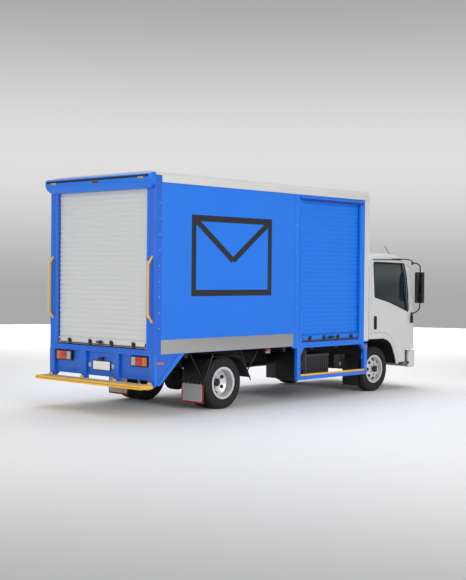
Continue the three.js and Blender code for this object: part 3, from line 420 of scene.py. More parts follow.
class Piece:
    """One visible piece in the making. Its faces are in the truck's frame, and each keeps its finish."""

    def __init__(self, name: str, body: str, slot: str) -> None:
        """Starts an empty piece.

        Args:
            name: The piece's name.
            body: The body that it moves with.
            slot: The record's material slot.
        """
        self.name, self.body, self.slot = name, body, slot
        self.mesh = bmesh.new()
        self.finishes: list[Finish] = []

    def dress(self, faces: Iterable[bmesh.types.BMFace], finish: Finish) -> None:
        """Gives faces a finish.

        Args:
            faces: The faces.
            finish: Their finish.
        """
        if finish not in self.finishes:
            self.finishes.append(finish)
        for face in faces:
            face.material_index = self.finishes.index(finish)
            face.smooth = True

    def add(self, part: bmesh.types.BMesh, finish: Finish, edge_mm: float = 0.0,
            outward: bool = True) -> None:
        """Takes in a closed shape, with its edges rounded.

        Args:
            part: The shape, which is used up.
            finish: Its finish.
            edge_mm: The width of the rounding.
            outward: Whether its faces still have to be turned outwards.
        """
        if outward:
            bmesh.ops.recalc_face_normals(part, faces=part.faces)
        if edge_mm:
            sharp = [e for e in part.edges if len(e.link_faces) == 2
                     and e.calc_face_angle(0) > math.radians(28)]
            bmesh.ops.bevel(part, geom=sharp, offset=edge_mm * MM, segments=2, profile=0.6, affect="EDGES",
                            clamp_overlap=True)
        held = bpy.data.meshes.new("held")
        part.to_mesh(held)
        part.free()
        before = len(self.mesh.faces)
        self.mesh.from_mesh(held)
        bpy.data.meshes.remove(held)
        self.mesh.faces.ensure_lookup_table()
        self.dress(self.mesh.faces[before:], finish)

    def slab(self, lo: Point, hi: Point, finish: Finish, edge_mm: float = 2.0) -> None:
        """Adds a plate or block between two corners, with rounded edges.

        Args:
            lo: One corner.
            hi: The opposite corner.
            finish: Its finish.
            edge_mm: The width of the rounding.
        """
        part = bmesh.new()
        bmesh.ops.create_cube(part, size=1.0)
        low, high = (Vector(map(f, lo, hi)) for f in (min, max))
        size = high - low
        bmesh.ops.scale(part, vec=size, verts=part.verts)
        bmesh.ops.translate(part, vec=(low + high) / 2, verts=part.verts)
        self.add(part, finish, min(edge_mm, min(size) / MM * 0.3))

    def prism(self, outline: Sequence[tuple[float, float]], axis: Axis, start: float, end: float,
              finish: Finish, edge_mm: float = 1.0) -> None:
        """Adds an outline carried along one axis. The outline holds the other two places, in X, Y, Z order.

        Args:
            outline: The points of the outline.
            axis: The way it is carried.
            start: Where it starts on that axis.
            end: Where it ends.
            finish: Its finish.
            edge_mm: The width of the rounding.
        """
        part = bmesh.new()
        rings = []
        for depth in (start, end):
            spots = {Axis.X: [(depth, u, v) for u, v in outline],
                     Axis.Y: [(u, depth, v) for u, v in outline],
                     Axis.Z: [(u, v, depth) for u, v in outline]}[axis]
            rings.append([part.verts.new(p) for p in spots])
        part.faces.new(rings[0])
        part.faces.new(rings[1][::-1])
        for i in range(len(outline)):
            j = (i + 1) % len(outline)
            part.faces.new((rings[0][i], rings[0][j], rings[1][j], rings[1][i]))
        self.add(part, finish, edge_mm)

    def rod(self, line: Sequence[Point], radius: float, finish: Finish, sides: int = 12) -> None:
        """Adds a round bar along a line, closed at both ends.

        Args:
            line: The points of its centre line.
            radius: Its radius.
            finish: Its finish.
            sides: How many flats it has.
        """
        part = bmesh.new()
        knots = [Vector(p) for p in line]
        rings = []
        across = None
        for i, knot in enumerate(knots):
            along = (knots[min(i + 1, len(knots) - 1)] - knots[max(i - 1, 0)]).normalized()
            if across is None:
                across = along.orthogonal().normalized()
            across = (across - along * across.dot(along)).normalized()
            up = along.cross(across)
            rings.append([part.verts.new(knot + radius * (math.cos(a) * across + math.sin(a) * up))
                          for a in (2 * math.pi * s / sides for s in range(sides))])
        for low, high in zip(rings, rings[1:]):
            for s in range(sides):
                part.faces.new((low[s], low[(s + 1) % sides], high[(s + 1) % sides], high[s]))
        part.faces.new(rings[0][::-1])
        part.faces.new(rings[-1])
        self.add(part, finish)

    def lathe(self, profile: Sequence[tuple[float, float]], centre: Point, finish: Finish,
              axis: Vector = Axis.Y.value, segments: int = 64) -> None:
        """Adds a turned shape.

        Args:
            profile: Radius and distance along the axis. It starts and ends on the axis or on one point.
            centre: Where the axis is measured from.
            finish: Its finish.
            axis: The direction of the axis.
            segments: How many flats the turn has.
        """
        part = bmesh.new()
        side = axis.orthogonal().normalized()
        up = axis.cross(side)
        base = Vector(centre)
        rings = []
        for radius, height in profile:
            level = base + axis * height
            rings.append([part.verts.new(level + radius * (math.cos(a) * side + math.sin(a) * up))
                          for a in (2 * math.pi * s / segments for s in range(segments))])
        for low, high in zip(rings, rings[1:]):
            for s in range(segments):
                part.faces.new((low[s], low[(s + 1) % segments], high[(s + 1) % segments], high[s]))
        bmesh.ops.remove_doubles(part, verts=part.verts, dist=1e-6)
        self.add(part, finish)

    def repeat(self, shape: "Piece", count: int, place: Point, step: Point = (0, 0, 0),
               turn: Point = (0, 0, 0)) -> None:
        """Adds a row or ring of one shape, made by the repeat tree.

        Args:
            shape: The shape at the origin, which is used up.
            count: How many copies.
            place: Where the first copy's origin goes.
            step: How far each copy moves on from the last.
            turn: How far each copy turns on from the last, in radians.
        """
        held = bpy.data.meshes.new("shape")
        shape.mesh.to_mesh(held)
        shape.mesh.free()
        holder = bpy.data.objects.new("shape", held)
        bpy.context.scene.collection.objects.link(holder)
        tree = repeat_tree()
        nodes = holder.modifiers.new("repeat", "NODES")
        nodes.node_group = tree
        given = {"Count": count, "Step": step, "Turn": turn, "Place": place,
                 "Finish": shape.finishes[0].material()}
        for socket in tree.interface.items_tree:
            if socket.name in given:
                nodes[socket.identifier] = given[socket.name]
        graph = bpy.context.evaluated_depsgraph_get()
        result = bpy.data.meshes.new_from_object(holder.evaluated_get(graph))
        holder.modifiers.remove(nodes)
        before = len(self.mesh.faces)
        self.mesh.from_mesh(result)
        self.mesh.faces.ensure_lookup_table()
        self.dress(self.mesh.faces[before:], shape.finishes[0])
        bpy.data.objects.remove(holder)

    def recolour(self, finish: Finish, chosen: Callable[[Vector, Vector], bool]) -> None:
        """Gives another finish to the faces whose centre and outward direction are chosen."""
        self.dress([f for f in self.mesh.faces if chosen(f.calc_center_median(), f.normal)], finish)

    def refine(self, node: str, finish: Finish, edge_mm: float = 2.0) -> None:
        """Adds a CAD node's own shape with its flat faces joined and its edges rounded.

        Args:
            node: The CAD node's name.
            finish: Its finish.
            edge_mm: The width of the rounding.
        """
        part = bmesh.new()
        part.from_mesh(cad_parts[node].data)
        bmesh.ops.remove_doubles(part, verts=part.verts, dist=1e-5)
        bmesh.ops.dissolve_limit(part, angle_limit=math.radians(0.4), verts=part.verts, edges=part.edges)
        self.add(part, finish, edge_mm, outward=False)

    def done(self, *replaced: str) -> bpy.types.Object:
        """Turns the piece into an object on its body.

        Args:
            replaced: The CAD nodes that it stands for.

        Returns:
            The object, at the origin, with its place in its mesh.
        """
        bmesh.ops.triangulate(self.mesh, faces=[f for f in self.mesh.faces if len(f.verts) > 4])
        data = bpy.data.meshes.new(self.name)
        self.mesh.to_mesh(data)
        self.mesh.free()
        data.set_sharp_from_angle(angle=math.radians(32))
        for finish in self.finishes:
            data.materials.append(finish.material())
        made = bpy.data.objects.new(self.name, data)
        bpy.context.scene.collection.objects.link(made)
        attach(made, self.body)
        if replaced:
            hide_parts(*replaced)
        LOG.info("%s: %d faces on %s", self.name, len(data.polygons), self.body)
        return made


def refined(node: str, body: str, slot: str, finish: Finish, edge_mm: float = 2.0) -> None:
    """Makes a finished piece of one CAD node.

    Args:
        node: The CAD node's name.
        body: The body that it moves with.
        slot: The record's material slot.
        finish: Its finish.
        edge_mm: The width of the rounding.
    """
    piece = Piece(f"{node}_body", body, slot)
    piece.refine(node, finish, edge_mm)
    piece.done(node)


def rivet(direction: Vector, radius: float = 5.0 * MM, finish: Finish = BOLT) -> Piece:
    """Makes a domed rivet head at the origin that faces one way.

    Args:
        direction: The way it faces.
        radius: Its radius.
        finish: Its finish.

    Returns:
        The rivet.
    """
    shape = Piece("rivet", "root", "")
    dome = [(radius * math.cos(a), radius * 0.55 * math.sin(a)) for a in (0, 0.5, 1.0, 1.4)]
    shape.lathe([(0, -0.5 * MM), (radius, -0.5 * MM), *dome, (0, radius * 0.55)], (0, 0, 0), finish,
                direction, 8)
    return shape


def hexagon(direction: Vector, radius: float, height: float, finish: Finish = BOLT) -> Piece:
    """Makes a hexagonal nut at the origin that faces one way.

    Args:
        direction: The way it faces.
        radius: Its radius.
        height: How high it is.
        finish: Its finish.

    Returns:
        The nut.
    """
    shape = Piece("nut", "root", "")
    shape.lathe([(0, 0), (radius, 0), (radius, height * 0.8), (radius * 0.85, height), (0, height)],
                (0, 0, 0), finish, direction, 6)
    return shape


# ---------- sub-assemblies ----------
@dataclass
class Wheels:
    """Tyres with a block tread on pressed rims, twinned at the rear."""

    tread_blocks: int = 44
    groove: float = 7 * MM
    rear_holes: int = 6
    front_holes: int = 8
    nuts: int = 6

    def tyre(self, name: str, body: str) -> None:
        """Makes one tyre with shoulders, sidewall ribs and tread.

        Args:
            name: The CAD tyre's name.
            body: The body that it moves with.
        """
        room = box(name)
        centre, half, radius = room.centre, room.size.y / 2, room.size.z / 2
        floor = radius - self.groove
        bead = 0.204
        piece = Piece(f"{name}_rubber", body, "tyre")
        wall = [(bead, 0.74), (0.232, 0.80), (0.246, 0.84), (0.250, 0.90), (0.285, 0.985), (0.315, 0.985),
                (0.340, 0.90), (0.353, 0.80), (floor, 0.66)]
        profile = [(r, half * w) for r, w in wall]
        loop = profile + [(r, -h) for r, h in reversed(profile)]
        piece.lathe([*loop, loop[0]], centre, RUBBER, segments=72)
        pitch = 2 * math.pi / self.tread_blocks
        for row, offset in enumerate((-0.55, -0.19, 0.19, 0.55)):
            block = Piece("block", body, "")
            width, length = half * 0.145, radius * pitch * 0.40
            block.slab((-length, -width, floor - 3 * MM), (length, width, radius - 0.6 * MM), RUBBER, 1.0)
            lead = Vector((0, offset * half, 0))
            for vert in block.mesh.verts:
                vert.co += lead
            bmesh.ops.rotate(block.mesh, verts=block.mesh.verts,
                             matrix=Matrix.Rotation(pitch * 0.5 * (row % 2), 3, "Y"))
            piece.repeat(block, self.tread_blocks, centre, turn=(0, pitch, 0))
        piece.done(name)

    def rim(self, piece: Piece, profile: Sequence[tuple[float, float]], centre: Vector, side: int) -> None:
        """Adds a turned rim that faces outwards on its side."""
        piece.lathe([(r, side * h) for r, h in profile], centre, RIM, segments=64)

    def hand_holes(self, piece: Piece, centre: Vector, side: int, radius: float, depth: float,
                   count: int, size: float, lean: float) -> None:
        """Adds the ring of openings in a rim's disc, each with its raised lip and a near-black disc of painted
        shade, square to the cone.

        Args:
            piece: The piece that it is added to.
            centre: The rim's middle.
            side: The sign of the side's Y.
            radius: The ring's radius.
            depth: How far out the ring lies.
            count: How many holes.
            size: The radius of one hole.
            lean: How far each hole leans away from the axis.
        """
        # Each opening gets a raised lip and a near-black disc of painted shade.
        for finish, grow, proud in ((RIM, 1.18, 1.2 * MM), (DARK_HOLE, 1.0, 2.0 * MM)):
            hole = Piece("hole", piece.body, "")
            way = Vector((0, side, lean)).normalized()
            hole.lathe([(0, -4 * MM), (size * grow, -4 * MM), (size * grow, proud), (0, proud)],
                       (0, side * depth, radius), finish, way, 18)
            piece.repeat(hole, count, centre, turn=(0, 2 * math.pi / count, 0))

    def nut_ring(self, piece: Piece, centre: Vector, side: int, radius: float, depth: float) -> None:
        """Adds the ring of wheel nuts.

        Args:
            piece: The piece that it is added to.
            centre: The rim's middle.
            side: The sign of the side's Y.
            radius: The ring's radius.
            depth: How far out the ring lies.
        """
        nut = hexagon(Vector((0, side, 0)), 14 * MM, 22 * MM)
        for vert in nut.mesh.verts:
            vert.co += Vector((0, side * depth, radius))
        piece.repeat(nut, self.nuts, centre, turn=(0, 2 * math.pi / self.nuts, 0))

    def rear(self, name: str, side: int) -> None:
        """Makes the twin rims of one side, the outer one dished deep.

        Args:
            name: The side's name, right or left.
            side: The sign of the side's Y.
        """
        node = f"rear_rims_{name}"
        centre = box(node).centre
        centre.y = (box(f"rear_tyre_outer_{name}").centre.y + box(f"rear_tyre_inner_{name}").centre.y) / 2
        spread = abs(box(f"rear_tyre_outer_{name}").centre.y - centre.y)
        piece = Piece(f"{node}_steel", f"rear_wheel_{name}", "rim_silver")
        for middle, dish in ((spread, -0.085), (-spread, 0.085)):
            barrel = [(0.203, -0.076), (0.226, -0.079), (0.228, -0.086), (0.192, -0.084), (0.186, -0.02),
                      (0.186, 0.03), (0.192, 0.084), (0.228, 0.086), (0.226, 0.079), (0.203, 0.076),
                      (0.203, -0.076)]
            self.rim(piece, [(r, middle + h) for r, h in barrel], centre, side)
            disc = [(0, dish), (0.10, dish), (0.112, dish + 0.002), (0.172, dish * 0.55),
                    (0.19, dish * 0.4),
                    (0.19, dish * 0.4 - 0.008), (0.170, dish * 0.55 - 0.008), (0.110, dish - 0.007),
                    (0.10, dish - 0.009), (0, dish - 0.009)]
            self.rim(piece, [(r, middle + h) for r, h in disc], centre, side)
        face = spread - 0.085
        self.hand_holes(piece, centre, side, 0.142, face + 0.020, self.rear_holes, 0.029, -0.63)
        piece.lathe([(0, side * face), (0.058, side * face), (0.056, side * (face + 0.05)),
                     (0.045, side * (face + 0.058)), (0, side * (face + 0.058))], centre, FRAME_BLACK,
                    segments=32)
        self.nut_ring(piece, centre, side, 0.085, face + 0.002)
        piece.done(node)

    def front(self, name: str, side: int) -> None:
        """Makes the front rim of one side, its disc bulging outwards.

        Args:
            name: The side's name, right or left.
            side: The sign of the side's Y.
        """
        node = f"front_rim_{name}"
        centre = box(f"front_tyre_{name}").centre
        piece = Piece(f"{node}_steel", f"front_wheel_{name}", "rim_silver")
        self.rim(piece, [(0.203, -0.076), (0.226, -0.079), (0.228, -0.086), (0.194, -0.084), (0.194, 0.04),
                         (0.196, 0.084), (0.228, 0.086), (0.226, 0.079), (0.203, 0.076), (0.203, -0.076)],
                 centre, side)
        self.rim(piece, [(0, 0.068), (0.11, 0.068), (0.15, 0.05), (0.195, 0.024), (0.195, 0.032),
                         (0.152, 0.06),
                         (0.112, 0.078), (0, 0.078)], centre, side)
        self.hand_holes(piece, centre, side, 0.152, 0.061, self.front_holes, 0.028, 0.55)
        piece.lathe([(0, side * 0.07), (0.052, side * 0.07), (0.05, side * 0.112), (0.04, side * 0.118),
                     (0, side * 0.118)], centre, FRAME_BLACK, segments=32)
        self.nut_ring(piece, centre, side, 0.082, 0.078)
        piece.done(node)

    def build(self) -> None:
        """Makes all six wheels and both front hubs."""
        for name, side in SIDES:
            for place in ("outer", "inner"):
                self.tyre(f"rear_tyre_{place}_{name}", f"rear_wheel_{name}")
            self.tyre(f"front_tyre_{name}", f"front_wheel_{name}")
            self.rear(name, side)
            self.front(name, side)
            refined(f"front_hub_{name}", f"front_hub_{name}", "chassis_black", CAST_IRON, 3)


@dataclass
class Chassis:
    """The ladder frame, axles, drive line, tank and battery box."""

    bolt_pitch: float = 0.24

    def frame_rails(self) -> None:
        """Makes the frame with a row of bolts along each rail."""
        room = box("chassis_frame")
        piece = Piece("chassis_frame_body", "root", "chassis_black")
        piece.refine("chassis_frame", FRAME_BLACK, 4)
        count = int(room.size.x / self.bolt_pitch) - 1
        for _, side in SIDES:
            y = room.hi.y if side > 0 else room.lo.y
            for z in (room.lo.z + 0.035, room.hi.z - 0.035):
                piece.repeat(rivet(Vector((0, side, 0)), 9 * MM, FRAME_BLACK), count,
                             (room.lo.x + self.bolt_pitch, y, z), (self.bolt_pitch, 0, 0))
        piece.done("chassis_frame")

    def tank(self) -> None:
        """Makes the fuel tank with a pressed cross on its face, two straps and its filler."""
        room = box("fuel_tank")
        piece = Piece("fuel_tank_body", "root", "chassis_black")
        piece.refine("fuel_tank", FRAME_BLACK, 8)
        face = room.lo.y
        low, high = room.lo.z + 0.06, room.hi.z - 0.06
        rear, front = room.lo.x + 0.05, room.hi.x - 0.05
        for a, b in (((rear, low), (front, high)), ((rear, high), (front, low))):
            piece.rod([(a[0], face, a[1]), (b[0], face, b[1])], 7 * MM, FRAME_BLACK, 10)
        for x in (room.lo.x + 0.03, room.hi.x - 0.03):
            piece.slab((x - 0.012, face - 4 * MM, room.lo.z), (x + 0.012, face + 2 * MM, room.hi.z),
                       GREY_PLASTIC, 1)
        piece.lathe([(0, 0), (0.035, 0), (0.035, 0.022), (0.028, 0.028), (0, 0.028)],
                    (room.centre.x, face - 1 * MM, high), PLASTIC, Vector((0, -1, 0)), 24)
        piece.done("fuel_tank")

    def battery(self) -> None:
        """Makes the battery box with its moulded ribs and lid edge, and the small box with its catch."""
        room = box("battery_box")
        piece = Piece("battery_box_body", "root", "black_plastic")
        piece.refine("battery_box", PLASTIC, 5)
        face = room.lo.y
        rib = Piece("rib", "root", "")
        rib.slab((-9 * MM, -7 * MM, room.lo.z + 0.02), (9 * MM, 2 * MM, room.hi.z - 0.05), GREY_PLASTIC, 2)
        piece.repeat(rib, 14, (room.lo.x + 0.07, face, 0), (0.0465, 0, 0))
        piece.slab((room.lo.x + 0.03, face - 9 * MM, room.hi.z - 0.04),
                   (room.lo.x + 0.72, face + 3 * MM, room.hi.z),
                   GREY_PLASTIC, 3)
        for x in (room.hi.x - 0.24, room.hi.x - 0.10):
            piece.slab((x, face - 8 * MM, room.hi.z - 0.09), (x + 0.03, face, room.hi.z - 0.05),
                       GREY_PLASTIC, 1)
        piece.slab((room.hi.x - 0.18, face - 10 * MM, room.lo.z + 0.10),
                   (room.hi.x - 0.15, face, room.lo.z + 0.16),
                   BOLT, 2)
        piece.done("battery_box")

    def axle(self, node: str) -> None:
        """Makes an axle with the clips round its leaf springs.

        Args:
            node: The CAD node's name.
        """
        room = box(node)
        piece = Piece(f"{node}_body", "root", "chassis_black")
        piece.refine(node, CAST_IRON, 3)
        for y in (-0.385, 0.385):
            for x in (room.centre.x - 0.055, room.centre.x + 0.055):
                loop = [(x, y - 0.04, room.centre.z + 0.02), (x, y - 0.04, room.centre.z + 0.10),
                        (x, y + 0.04, room.centre.z + 0.10), (x, y + 0.04, room.centre.z + 0.02)]
                piece.rod(loop, 7 * MM, ZINC, 8)
        piece.done(node)

    def build(self) -> None:
        """Makes the chassis."""
        self.frame_rails()
        self.tank()
        self.battery()
        for node in ("rear_axle", "front_axle"):
            self.axle(node)
        refined("engine_gearbox", "root", "engine_metal", CAST_IRON, 6)
        refined("propeller_shaft", "propeller", "chassis_black", FRAME_BLACK, 0)


@dataclass
class BoxBody:
    """The walls, roof and floor, with their rails, rivets, guards and flaps."""

    rivet_pitch: float = 0.104
    scallop_pitch: float = 0.065
    guard_bottom: float = 0.316

    def roof(self) -> None:
        """Makes the roof with its bare edge rails and their scalloped rivet row."""
        room = box("roof_panel")
        wall = box("right_side_wall")
        piece = Piece("roof_panel_body", "root", "roof_grey")
        piece.refine("roof_panel", ROOF_SKIN, 3)
        top = wall.hi.z
        for _, side in SIDES:
            y = room.hi.y if side > 0 else room.lo.y
            piece.slab((room.lo.x + 0.102, y - 2 * MM * side, top - 0.088),
                       (room.hi.x - 2 * MM, y + 3 * MM * side, top),
                       ANODISED, 1.5)
            count = int((room.size.x - 0.2) / self.scallop_pitch)
            piece.repeat(rivet(Vector((0, side, 0)), 6 * MM), count,
                         (room.lo.x + 0.14, y + 3 * MM * side, top - 0.022), (self.scallop_pitch, 0, 0))
        for x in (room.lo.x + 0.9 * i for i in range(1, 5)):
            piece.slab((x, room.lo.y + 0.2, room.hi.z - 4 * MM),
                       (x + 0.03, room.hi.y - 0.2, room.hi.z + 3 * MM),
                       ROOF_SKIN, 1)
        piece.done("roof_panel")

    def wall(self, name: str, side: int) -> None:
        """Makes one side wall: painted panel, bare scuff rail, trim, rivets and guard.

        Args:
            name: The side's name, right or left.
            side: The sign of the side's Y.
        """
        node = f"{name}_side_wall"
        room = box(node)
        bearer = box("cargo_floor")
        portal = box("rear_frame")
        piece = Piece(f"{node}_body", "root", "panel_blue")
        piece.refine(node, BLUE_PAINT, 2)
        out = room.hi.y if side > 0 else room.lo.y
        skin = out - side * 8 * MM
        way = Vector((0, side, 0))
        rail_low, rail_high = bearer.lo.z + 0.072, bearer.lo.z + 0.266
        rear, mid = portal.lo.x + 0.122, portal.lo.x + 2.811
        piece.slab((rear, out - 2 * MM * side, rail_low + 2 * MM),
                   (mid, out + 2 * MM * side, rail_high - 2 * MM),
                   ALUMINIUM, 1.5)
        piece.repeat(rivet(way, 5 * MM), int((mid - rear) / self.rivet_pitch),
                     (rear + 0.05, out + 2 * MM * side, rail_high - 0.065), (self.rivet_pitch, 0, 0))
        for height in (rail_low + 0.02, rail_high - 0.03):
            piece.slab((rear, out, height), (mid, out + 5 * MM * side, height + 6 * MM), ALUMINIUM, 1)
        top = room.hi.z - 0.131
        for x in (rear - 0.03, mid + 0.066):
            piece.repeat(rivet(way, 9 * MM), 9, (x + 0.01, skin, top), (0, 0, -SEAM_RIVET_PITCH))
        piece.slab((mid + 0.03, skin - side * MM, rail_low),
                   (mid + 0.105, skin + 3 * MM * side, top + 0.04),
                   BLUE_PAINT, 1)
        self.guard(piece, side, room)
        piece.done(node)

    def guard(self, piece: Piece, side: int, room: Box) -> None:
        """Adds the underframe guard's yellow strip, reflectors, gusset plates and the front flap's trim.

        Args:
            piece: The wall's piece.
            side: The sign of the side's Y.
            room: The wall's box.
        """
        low = self.guard_bottom
        skin = (room.hi.y if side > 0 else room.lo.y) - side * 8 * MM
        rear, front = room.hi.x - 1.749, room.hi.x
        piece.recolour(PLASTIC, lambda at, _: abs(at.y) < 1.03 and at.z < 0.66)
        piece.slab((rear + 0.085, skin, low + 0.060), (front - 0.085, skin + side * 4 * MM, low + 0.088),
                   YELLOW, 1)
        for height, finish in ((0.42, AMBER_LENS), (0.02, RED_LENS)):
            piece.slab((front - 0.070, skin, low + height), (front - 0.012, skin + side * 5 * MM,
                                                             low + height + 0.035),
                       finish, 2)
        for x in (rear + 0.04, front - 0.04):
            piece.repeat(rivet(Vector((0, side, 0)), 7 * MM), 5, (x, skin, low + 0.12), (0, 0, 0.085))
        flap = room.hi.x - 0.105
        near, far = side * 0.69, side * 0.975
        for step in range(7):
            height = 0.16 + step * 0.06
            piece.slab((flap - 9 * MM, near, height), (flap - 4 * MM, far, height + 0.012), PLASTIC, 1)

    def marker(self) -> None:
        """Makes the amber side marker with its bracket under each scuff rail."""
        portal = box("rear_frame")
        for name, side in SIDES:
            piece = Piece(f"side_marker_{name}", "root", "lamp_red")
            x, y, z = portal.lo.x + 2.26, side * 1.085, 0.79
            piece.slab((x - 0.045, y, z - 0.004), (x + 0.045, y + side * 0.016, z + 0.034), DARK_AMBER, 4)
            piece.slab((x - 0.045, y - side * 0.014, z - 0.034), (x + 0.045, y + side * 0.010, z - 0.006),
                       ZINC, 3)
            piece.done()

    def build(self) -> None:
        """Makes the box body."""
        self.roof()
        for name, side in SIDES:
            self.wall(name, side)
        self.marker()
        front = Piece("front_wall_body", "root", "panel_blue")
        front.refine("front_wall", BLUE_PAINT, 2)
        room = box("front_wall")
        for _, side in SIDES:
            y = room.hi.y if side > 0 else room.lo.y
            front.slab((room.hi.x - 0.117, y - side * MM, room.lo.z + 0.02),
                       (room.hi.x + 2 * MM, y + side * 3 * MM,
                       room.hi.z - 0.09), ANODISED, 2)
        front.done("front_wall")
        floor = Piece("cargo_floor_body", "root", "floor_wood")
        floor.refine("cargo_floor", PLYWOOD, 2)
        floor.recolour(FRAME_BLACK, lambda at, way: at.z < 0.835 or way.z < -0.5)
        floor.done("cargo_floor")


@dataclass
class RearEnd:
    """The portal, hood, step, lamps, plate, grab rails and mudguards."""

    lamp_parts: tuple[tuple[Finish, float], ...] = ((AMBER_LENS, 0.32), (RED_LENS, 0.40),
                                                    (CLEAR_LENS, 0.28))

    def portal(self) -> None:
        """Makes the rear portal with rivets, corner reflectors and the recessed bays' edges."""
        room = box("rear_frame")
        piece = Piece("rear_frame_body", "root", "body_blue")
        piece.refine("rear_frame", DEEP_BLUE, 3)
        for _, side in SIDES:
            y = room.hi.y if side > 0 else room.lo.y
            way = Vector((0, side, 0))
            piece.repeat(rivet(way, 9 * MM), 9, (room.lo.x + 0.089, y, room.hi.z - 0.364),
                         (0, 0, -SEAM_RIVET_PITCH))
            piece.slab((room.lo.x + 0.012, y - side * MM, room.lo.z + 0.02),
                       (room.lo.x + 0.036, y + side * 4 * MM, room.lo.z + 0.085), RED_LENS, 2)
            brace = [(room.lo.x + 0.048, room.lo.z + 0.004), (room.lo.x + 0.108, room.lo.z + 0.004),
                     (room.lo.x + 0.552, room.lo.z + 0.408), (room.lo.x + 0.440, room.lo.z + 0.408)]
            piece.prism(brace, Axis.Y, y - side * MM, y + side * 9 * MM, BLUE_PAINT, 2)
            piece.slab((room.lo.x + 0.002, y - side * MM, room.lo.z + 0.004),
                       (room.lo.x + 0.046, y + side * 9 * MM, room.lo.z + 0.408), BLUE_PAINT, 2)
            piece.slab((room.lo.x + 0.04, y - side * MM, room.lo.z + 0.28),
                       (room.lo.x + 0.17, y + side * 11 * MM,
                       room.lo.z + 0.31), AMBER_LENS, 2)
            piece.slab((room.lo.x - 2 * MM, y - side * 0.155, room.lo.z + 0.48),
                       (room.lo.x + 2 * MM, y - side * 0.125, room.hi.z - 0.18), BLUE_PAINT, 1)
        piece.done("rear_frame")

    def hood(self) -> None:
        """Makes the shutter hood with its slot, its two clips and its latch."""
        room = box("rear_hood")
        piece = Piece("rear_hood_body", "root", "body_blue")
        piece.refine("rear_hood", BLUE_PAINT, 4)
        # A black strip under the hood's top lip, in the seal's finish: part rubber seal, part painted shade in
        # the gap under the lip.
        piece.slab((room.lo.x - MM, room.lo.y + 0.03, room.hi.z - 0.060),
                   (room.lo.x + 4 * MM, room.hi.y - 0.03,
                   room.hi.z - 0.030), SEAL, 0.5)
        for y, half, tall, finish in ((room.lo.y + 0.19, 0.055, 0.020, BRASS),
                                      (room.hi.y - 0.19, 0.055, 0.020, BRASS),
                                      (0.0, 0.06, 0.036, LATCH)):
            piece.slab((room.lo.x - 5 * MM, y - half, room.hi.z - 0.060 - tall),
                       (room.lo.x + 4 * MM, y + half,
                       room.hi.z - 0.052), finish, 3)
        piece.done("rear_hood")

    def step(self) -> None:
        """Makes the step with its grit tread, rear lip and bright ends."""
        room = box("step_bumper")
        piece = Piece("step_bumper_body", "root", "safety_yellow")
        piece.refine("step_bumper", YELLOW, 4)
        piece.recolour(DEEP_BLUE, lambda at, _: at.x > -3.039)
        piece.slab((room.lo.x + 0.012, room.lo.y + 0.02, 0.4385), (-3.045, room.hi.y - 0.02, 0.4425),
                   TREAD_TAN, 1)
        ridge = Piece("ridge", "root", "")
        ridge.slab((room.lo.x + 0.02, -4 * MM, 0.4425), (-3.05, 4 * MM, 0.4455), TREAD_TAN, 1)
        piece.repeat(ridge, 72, (0, room.lo.y + 0.035, 0), (0, 0.0302, 0))
        piece.slab((room.lo.x - MM, room.lo.y, 0.413), (room.lo.x + 2 * MM, room.hi.y, 0.418), SEAL, 0.5)
        piece.done("step_bumper")

    def lamp(self, name: str, side: int) -> None:
        """Makes one tail lamp with three lenses in a black housing.

        Args:
            name: The side's name, right or left.
            side: The sign of the side's Y.
        """
        node = f"tail_lamp_{name}"
        room = box(node)
        piece = Piece(f"{node}_body", "root", "lamp_red")
        piece.refine(node, PLASTIC, 6)
        edge = room.hi.y if side > 0 else room.lo.y
        for finish, share in self.lamp_parts:
            width = (room.size.y - 0.03) * share
            near, far = edge - side * 0.012, edge - side * (0.012 + width - 0.006)
            piece.slab((room.lo.x - 7 * MM, near, room.lo.z + 0.014),
                       (room.lo.x + 4 * MM, far, room.hi.z - 0.014),
                       finish, 5)
            edge -= side * width
        piece.done(node)

    def plate(self) -> None:
        """Makes the blank number plate with a lamp above it and one at each side."""
        portal = box("rear_frame")
        piece = Piece("number_plate", "root", "cab_white")
        x, y, z = portal.lo.x + 0.049, 0.0, 0.626
        piece.prism(round_corners(0.375, 0.136, 0.012, (y, z)), Axis.X, x - 0.012, x - 0.002, PLASTIC, 1)
        piece.prism(round_corners(0.355, 0.116, 0.010, (y, z)), Axis.X, x - 0.015, x - 0.011, WHITE_PLATE,
                    1)
        piece.slab((x - 0.04, y - 0.05, z + 0.08), (x, y + 0.05, z + 0.11), PLASTIC, 4)
        for offset in (-0.245, 0.245):
            piece.slab((x - 0.02, y + offset - 0.025, z - 0.03), (x, y + offset + 0.025, z + 0.03),
                       CLEAR_LENS, 4)
        piece.done()

    def grab_rail(self, name: str, side: int) -> None:
        """Makes one bent grab rail with its two feet.

        Args:
            name: The side's name, right or left.
            side: The sign of the side's Y; it is not used.
        """
        node = f"handrail_{name}"
        room = box(node)
        piece = Piece(f"{node}_tube", "root", "safety_yellow")
        y, radius = room.centre.y, 14 * MM
        wall, out = room.hi.x, room.lo.x + radius
        low, high = room.lo.z + radius, room.hi.z - radius
        foot = [(wall, y, low), (wall - 0.012, y, low + 0.012), (out + 0.012, y, low + 0.082),
                (out, y, low + 0.112)]
        head = [(x, py, low + high - z) for x, py, z in reversed(foot)]
        piece.rod(curve_through([*foot, *head], 8), radius - 0.5 * MM, YELLOW, 16)
        for z in (low, high):
            piece.lathe([(0, 0), (0.020, 0), (0.020, 4 * MM), (0.017, 6 * MM), (0, 6 * MM)], (wall, y, z),
                        YELLOW,
                        Vector((-1, 0, 0)), 24)
        piece.done(node)

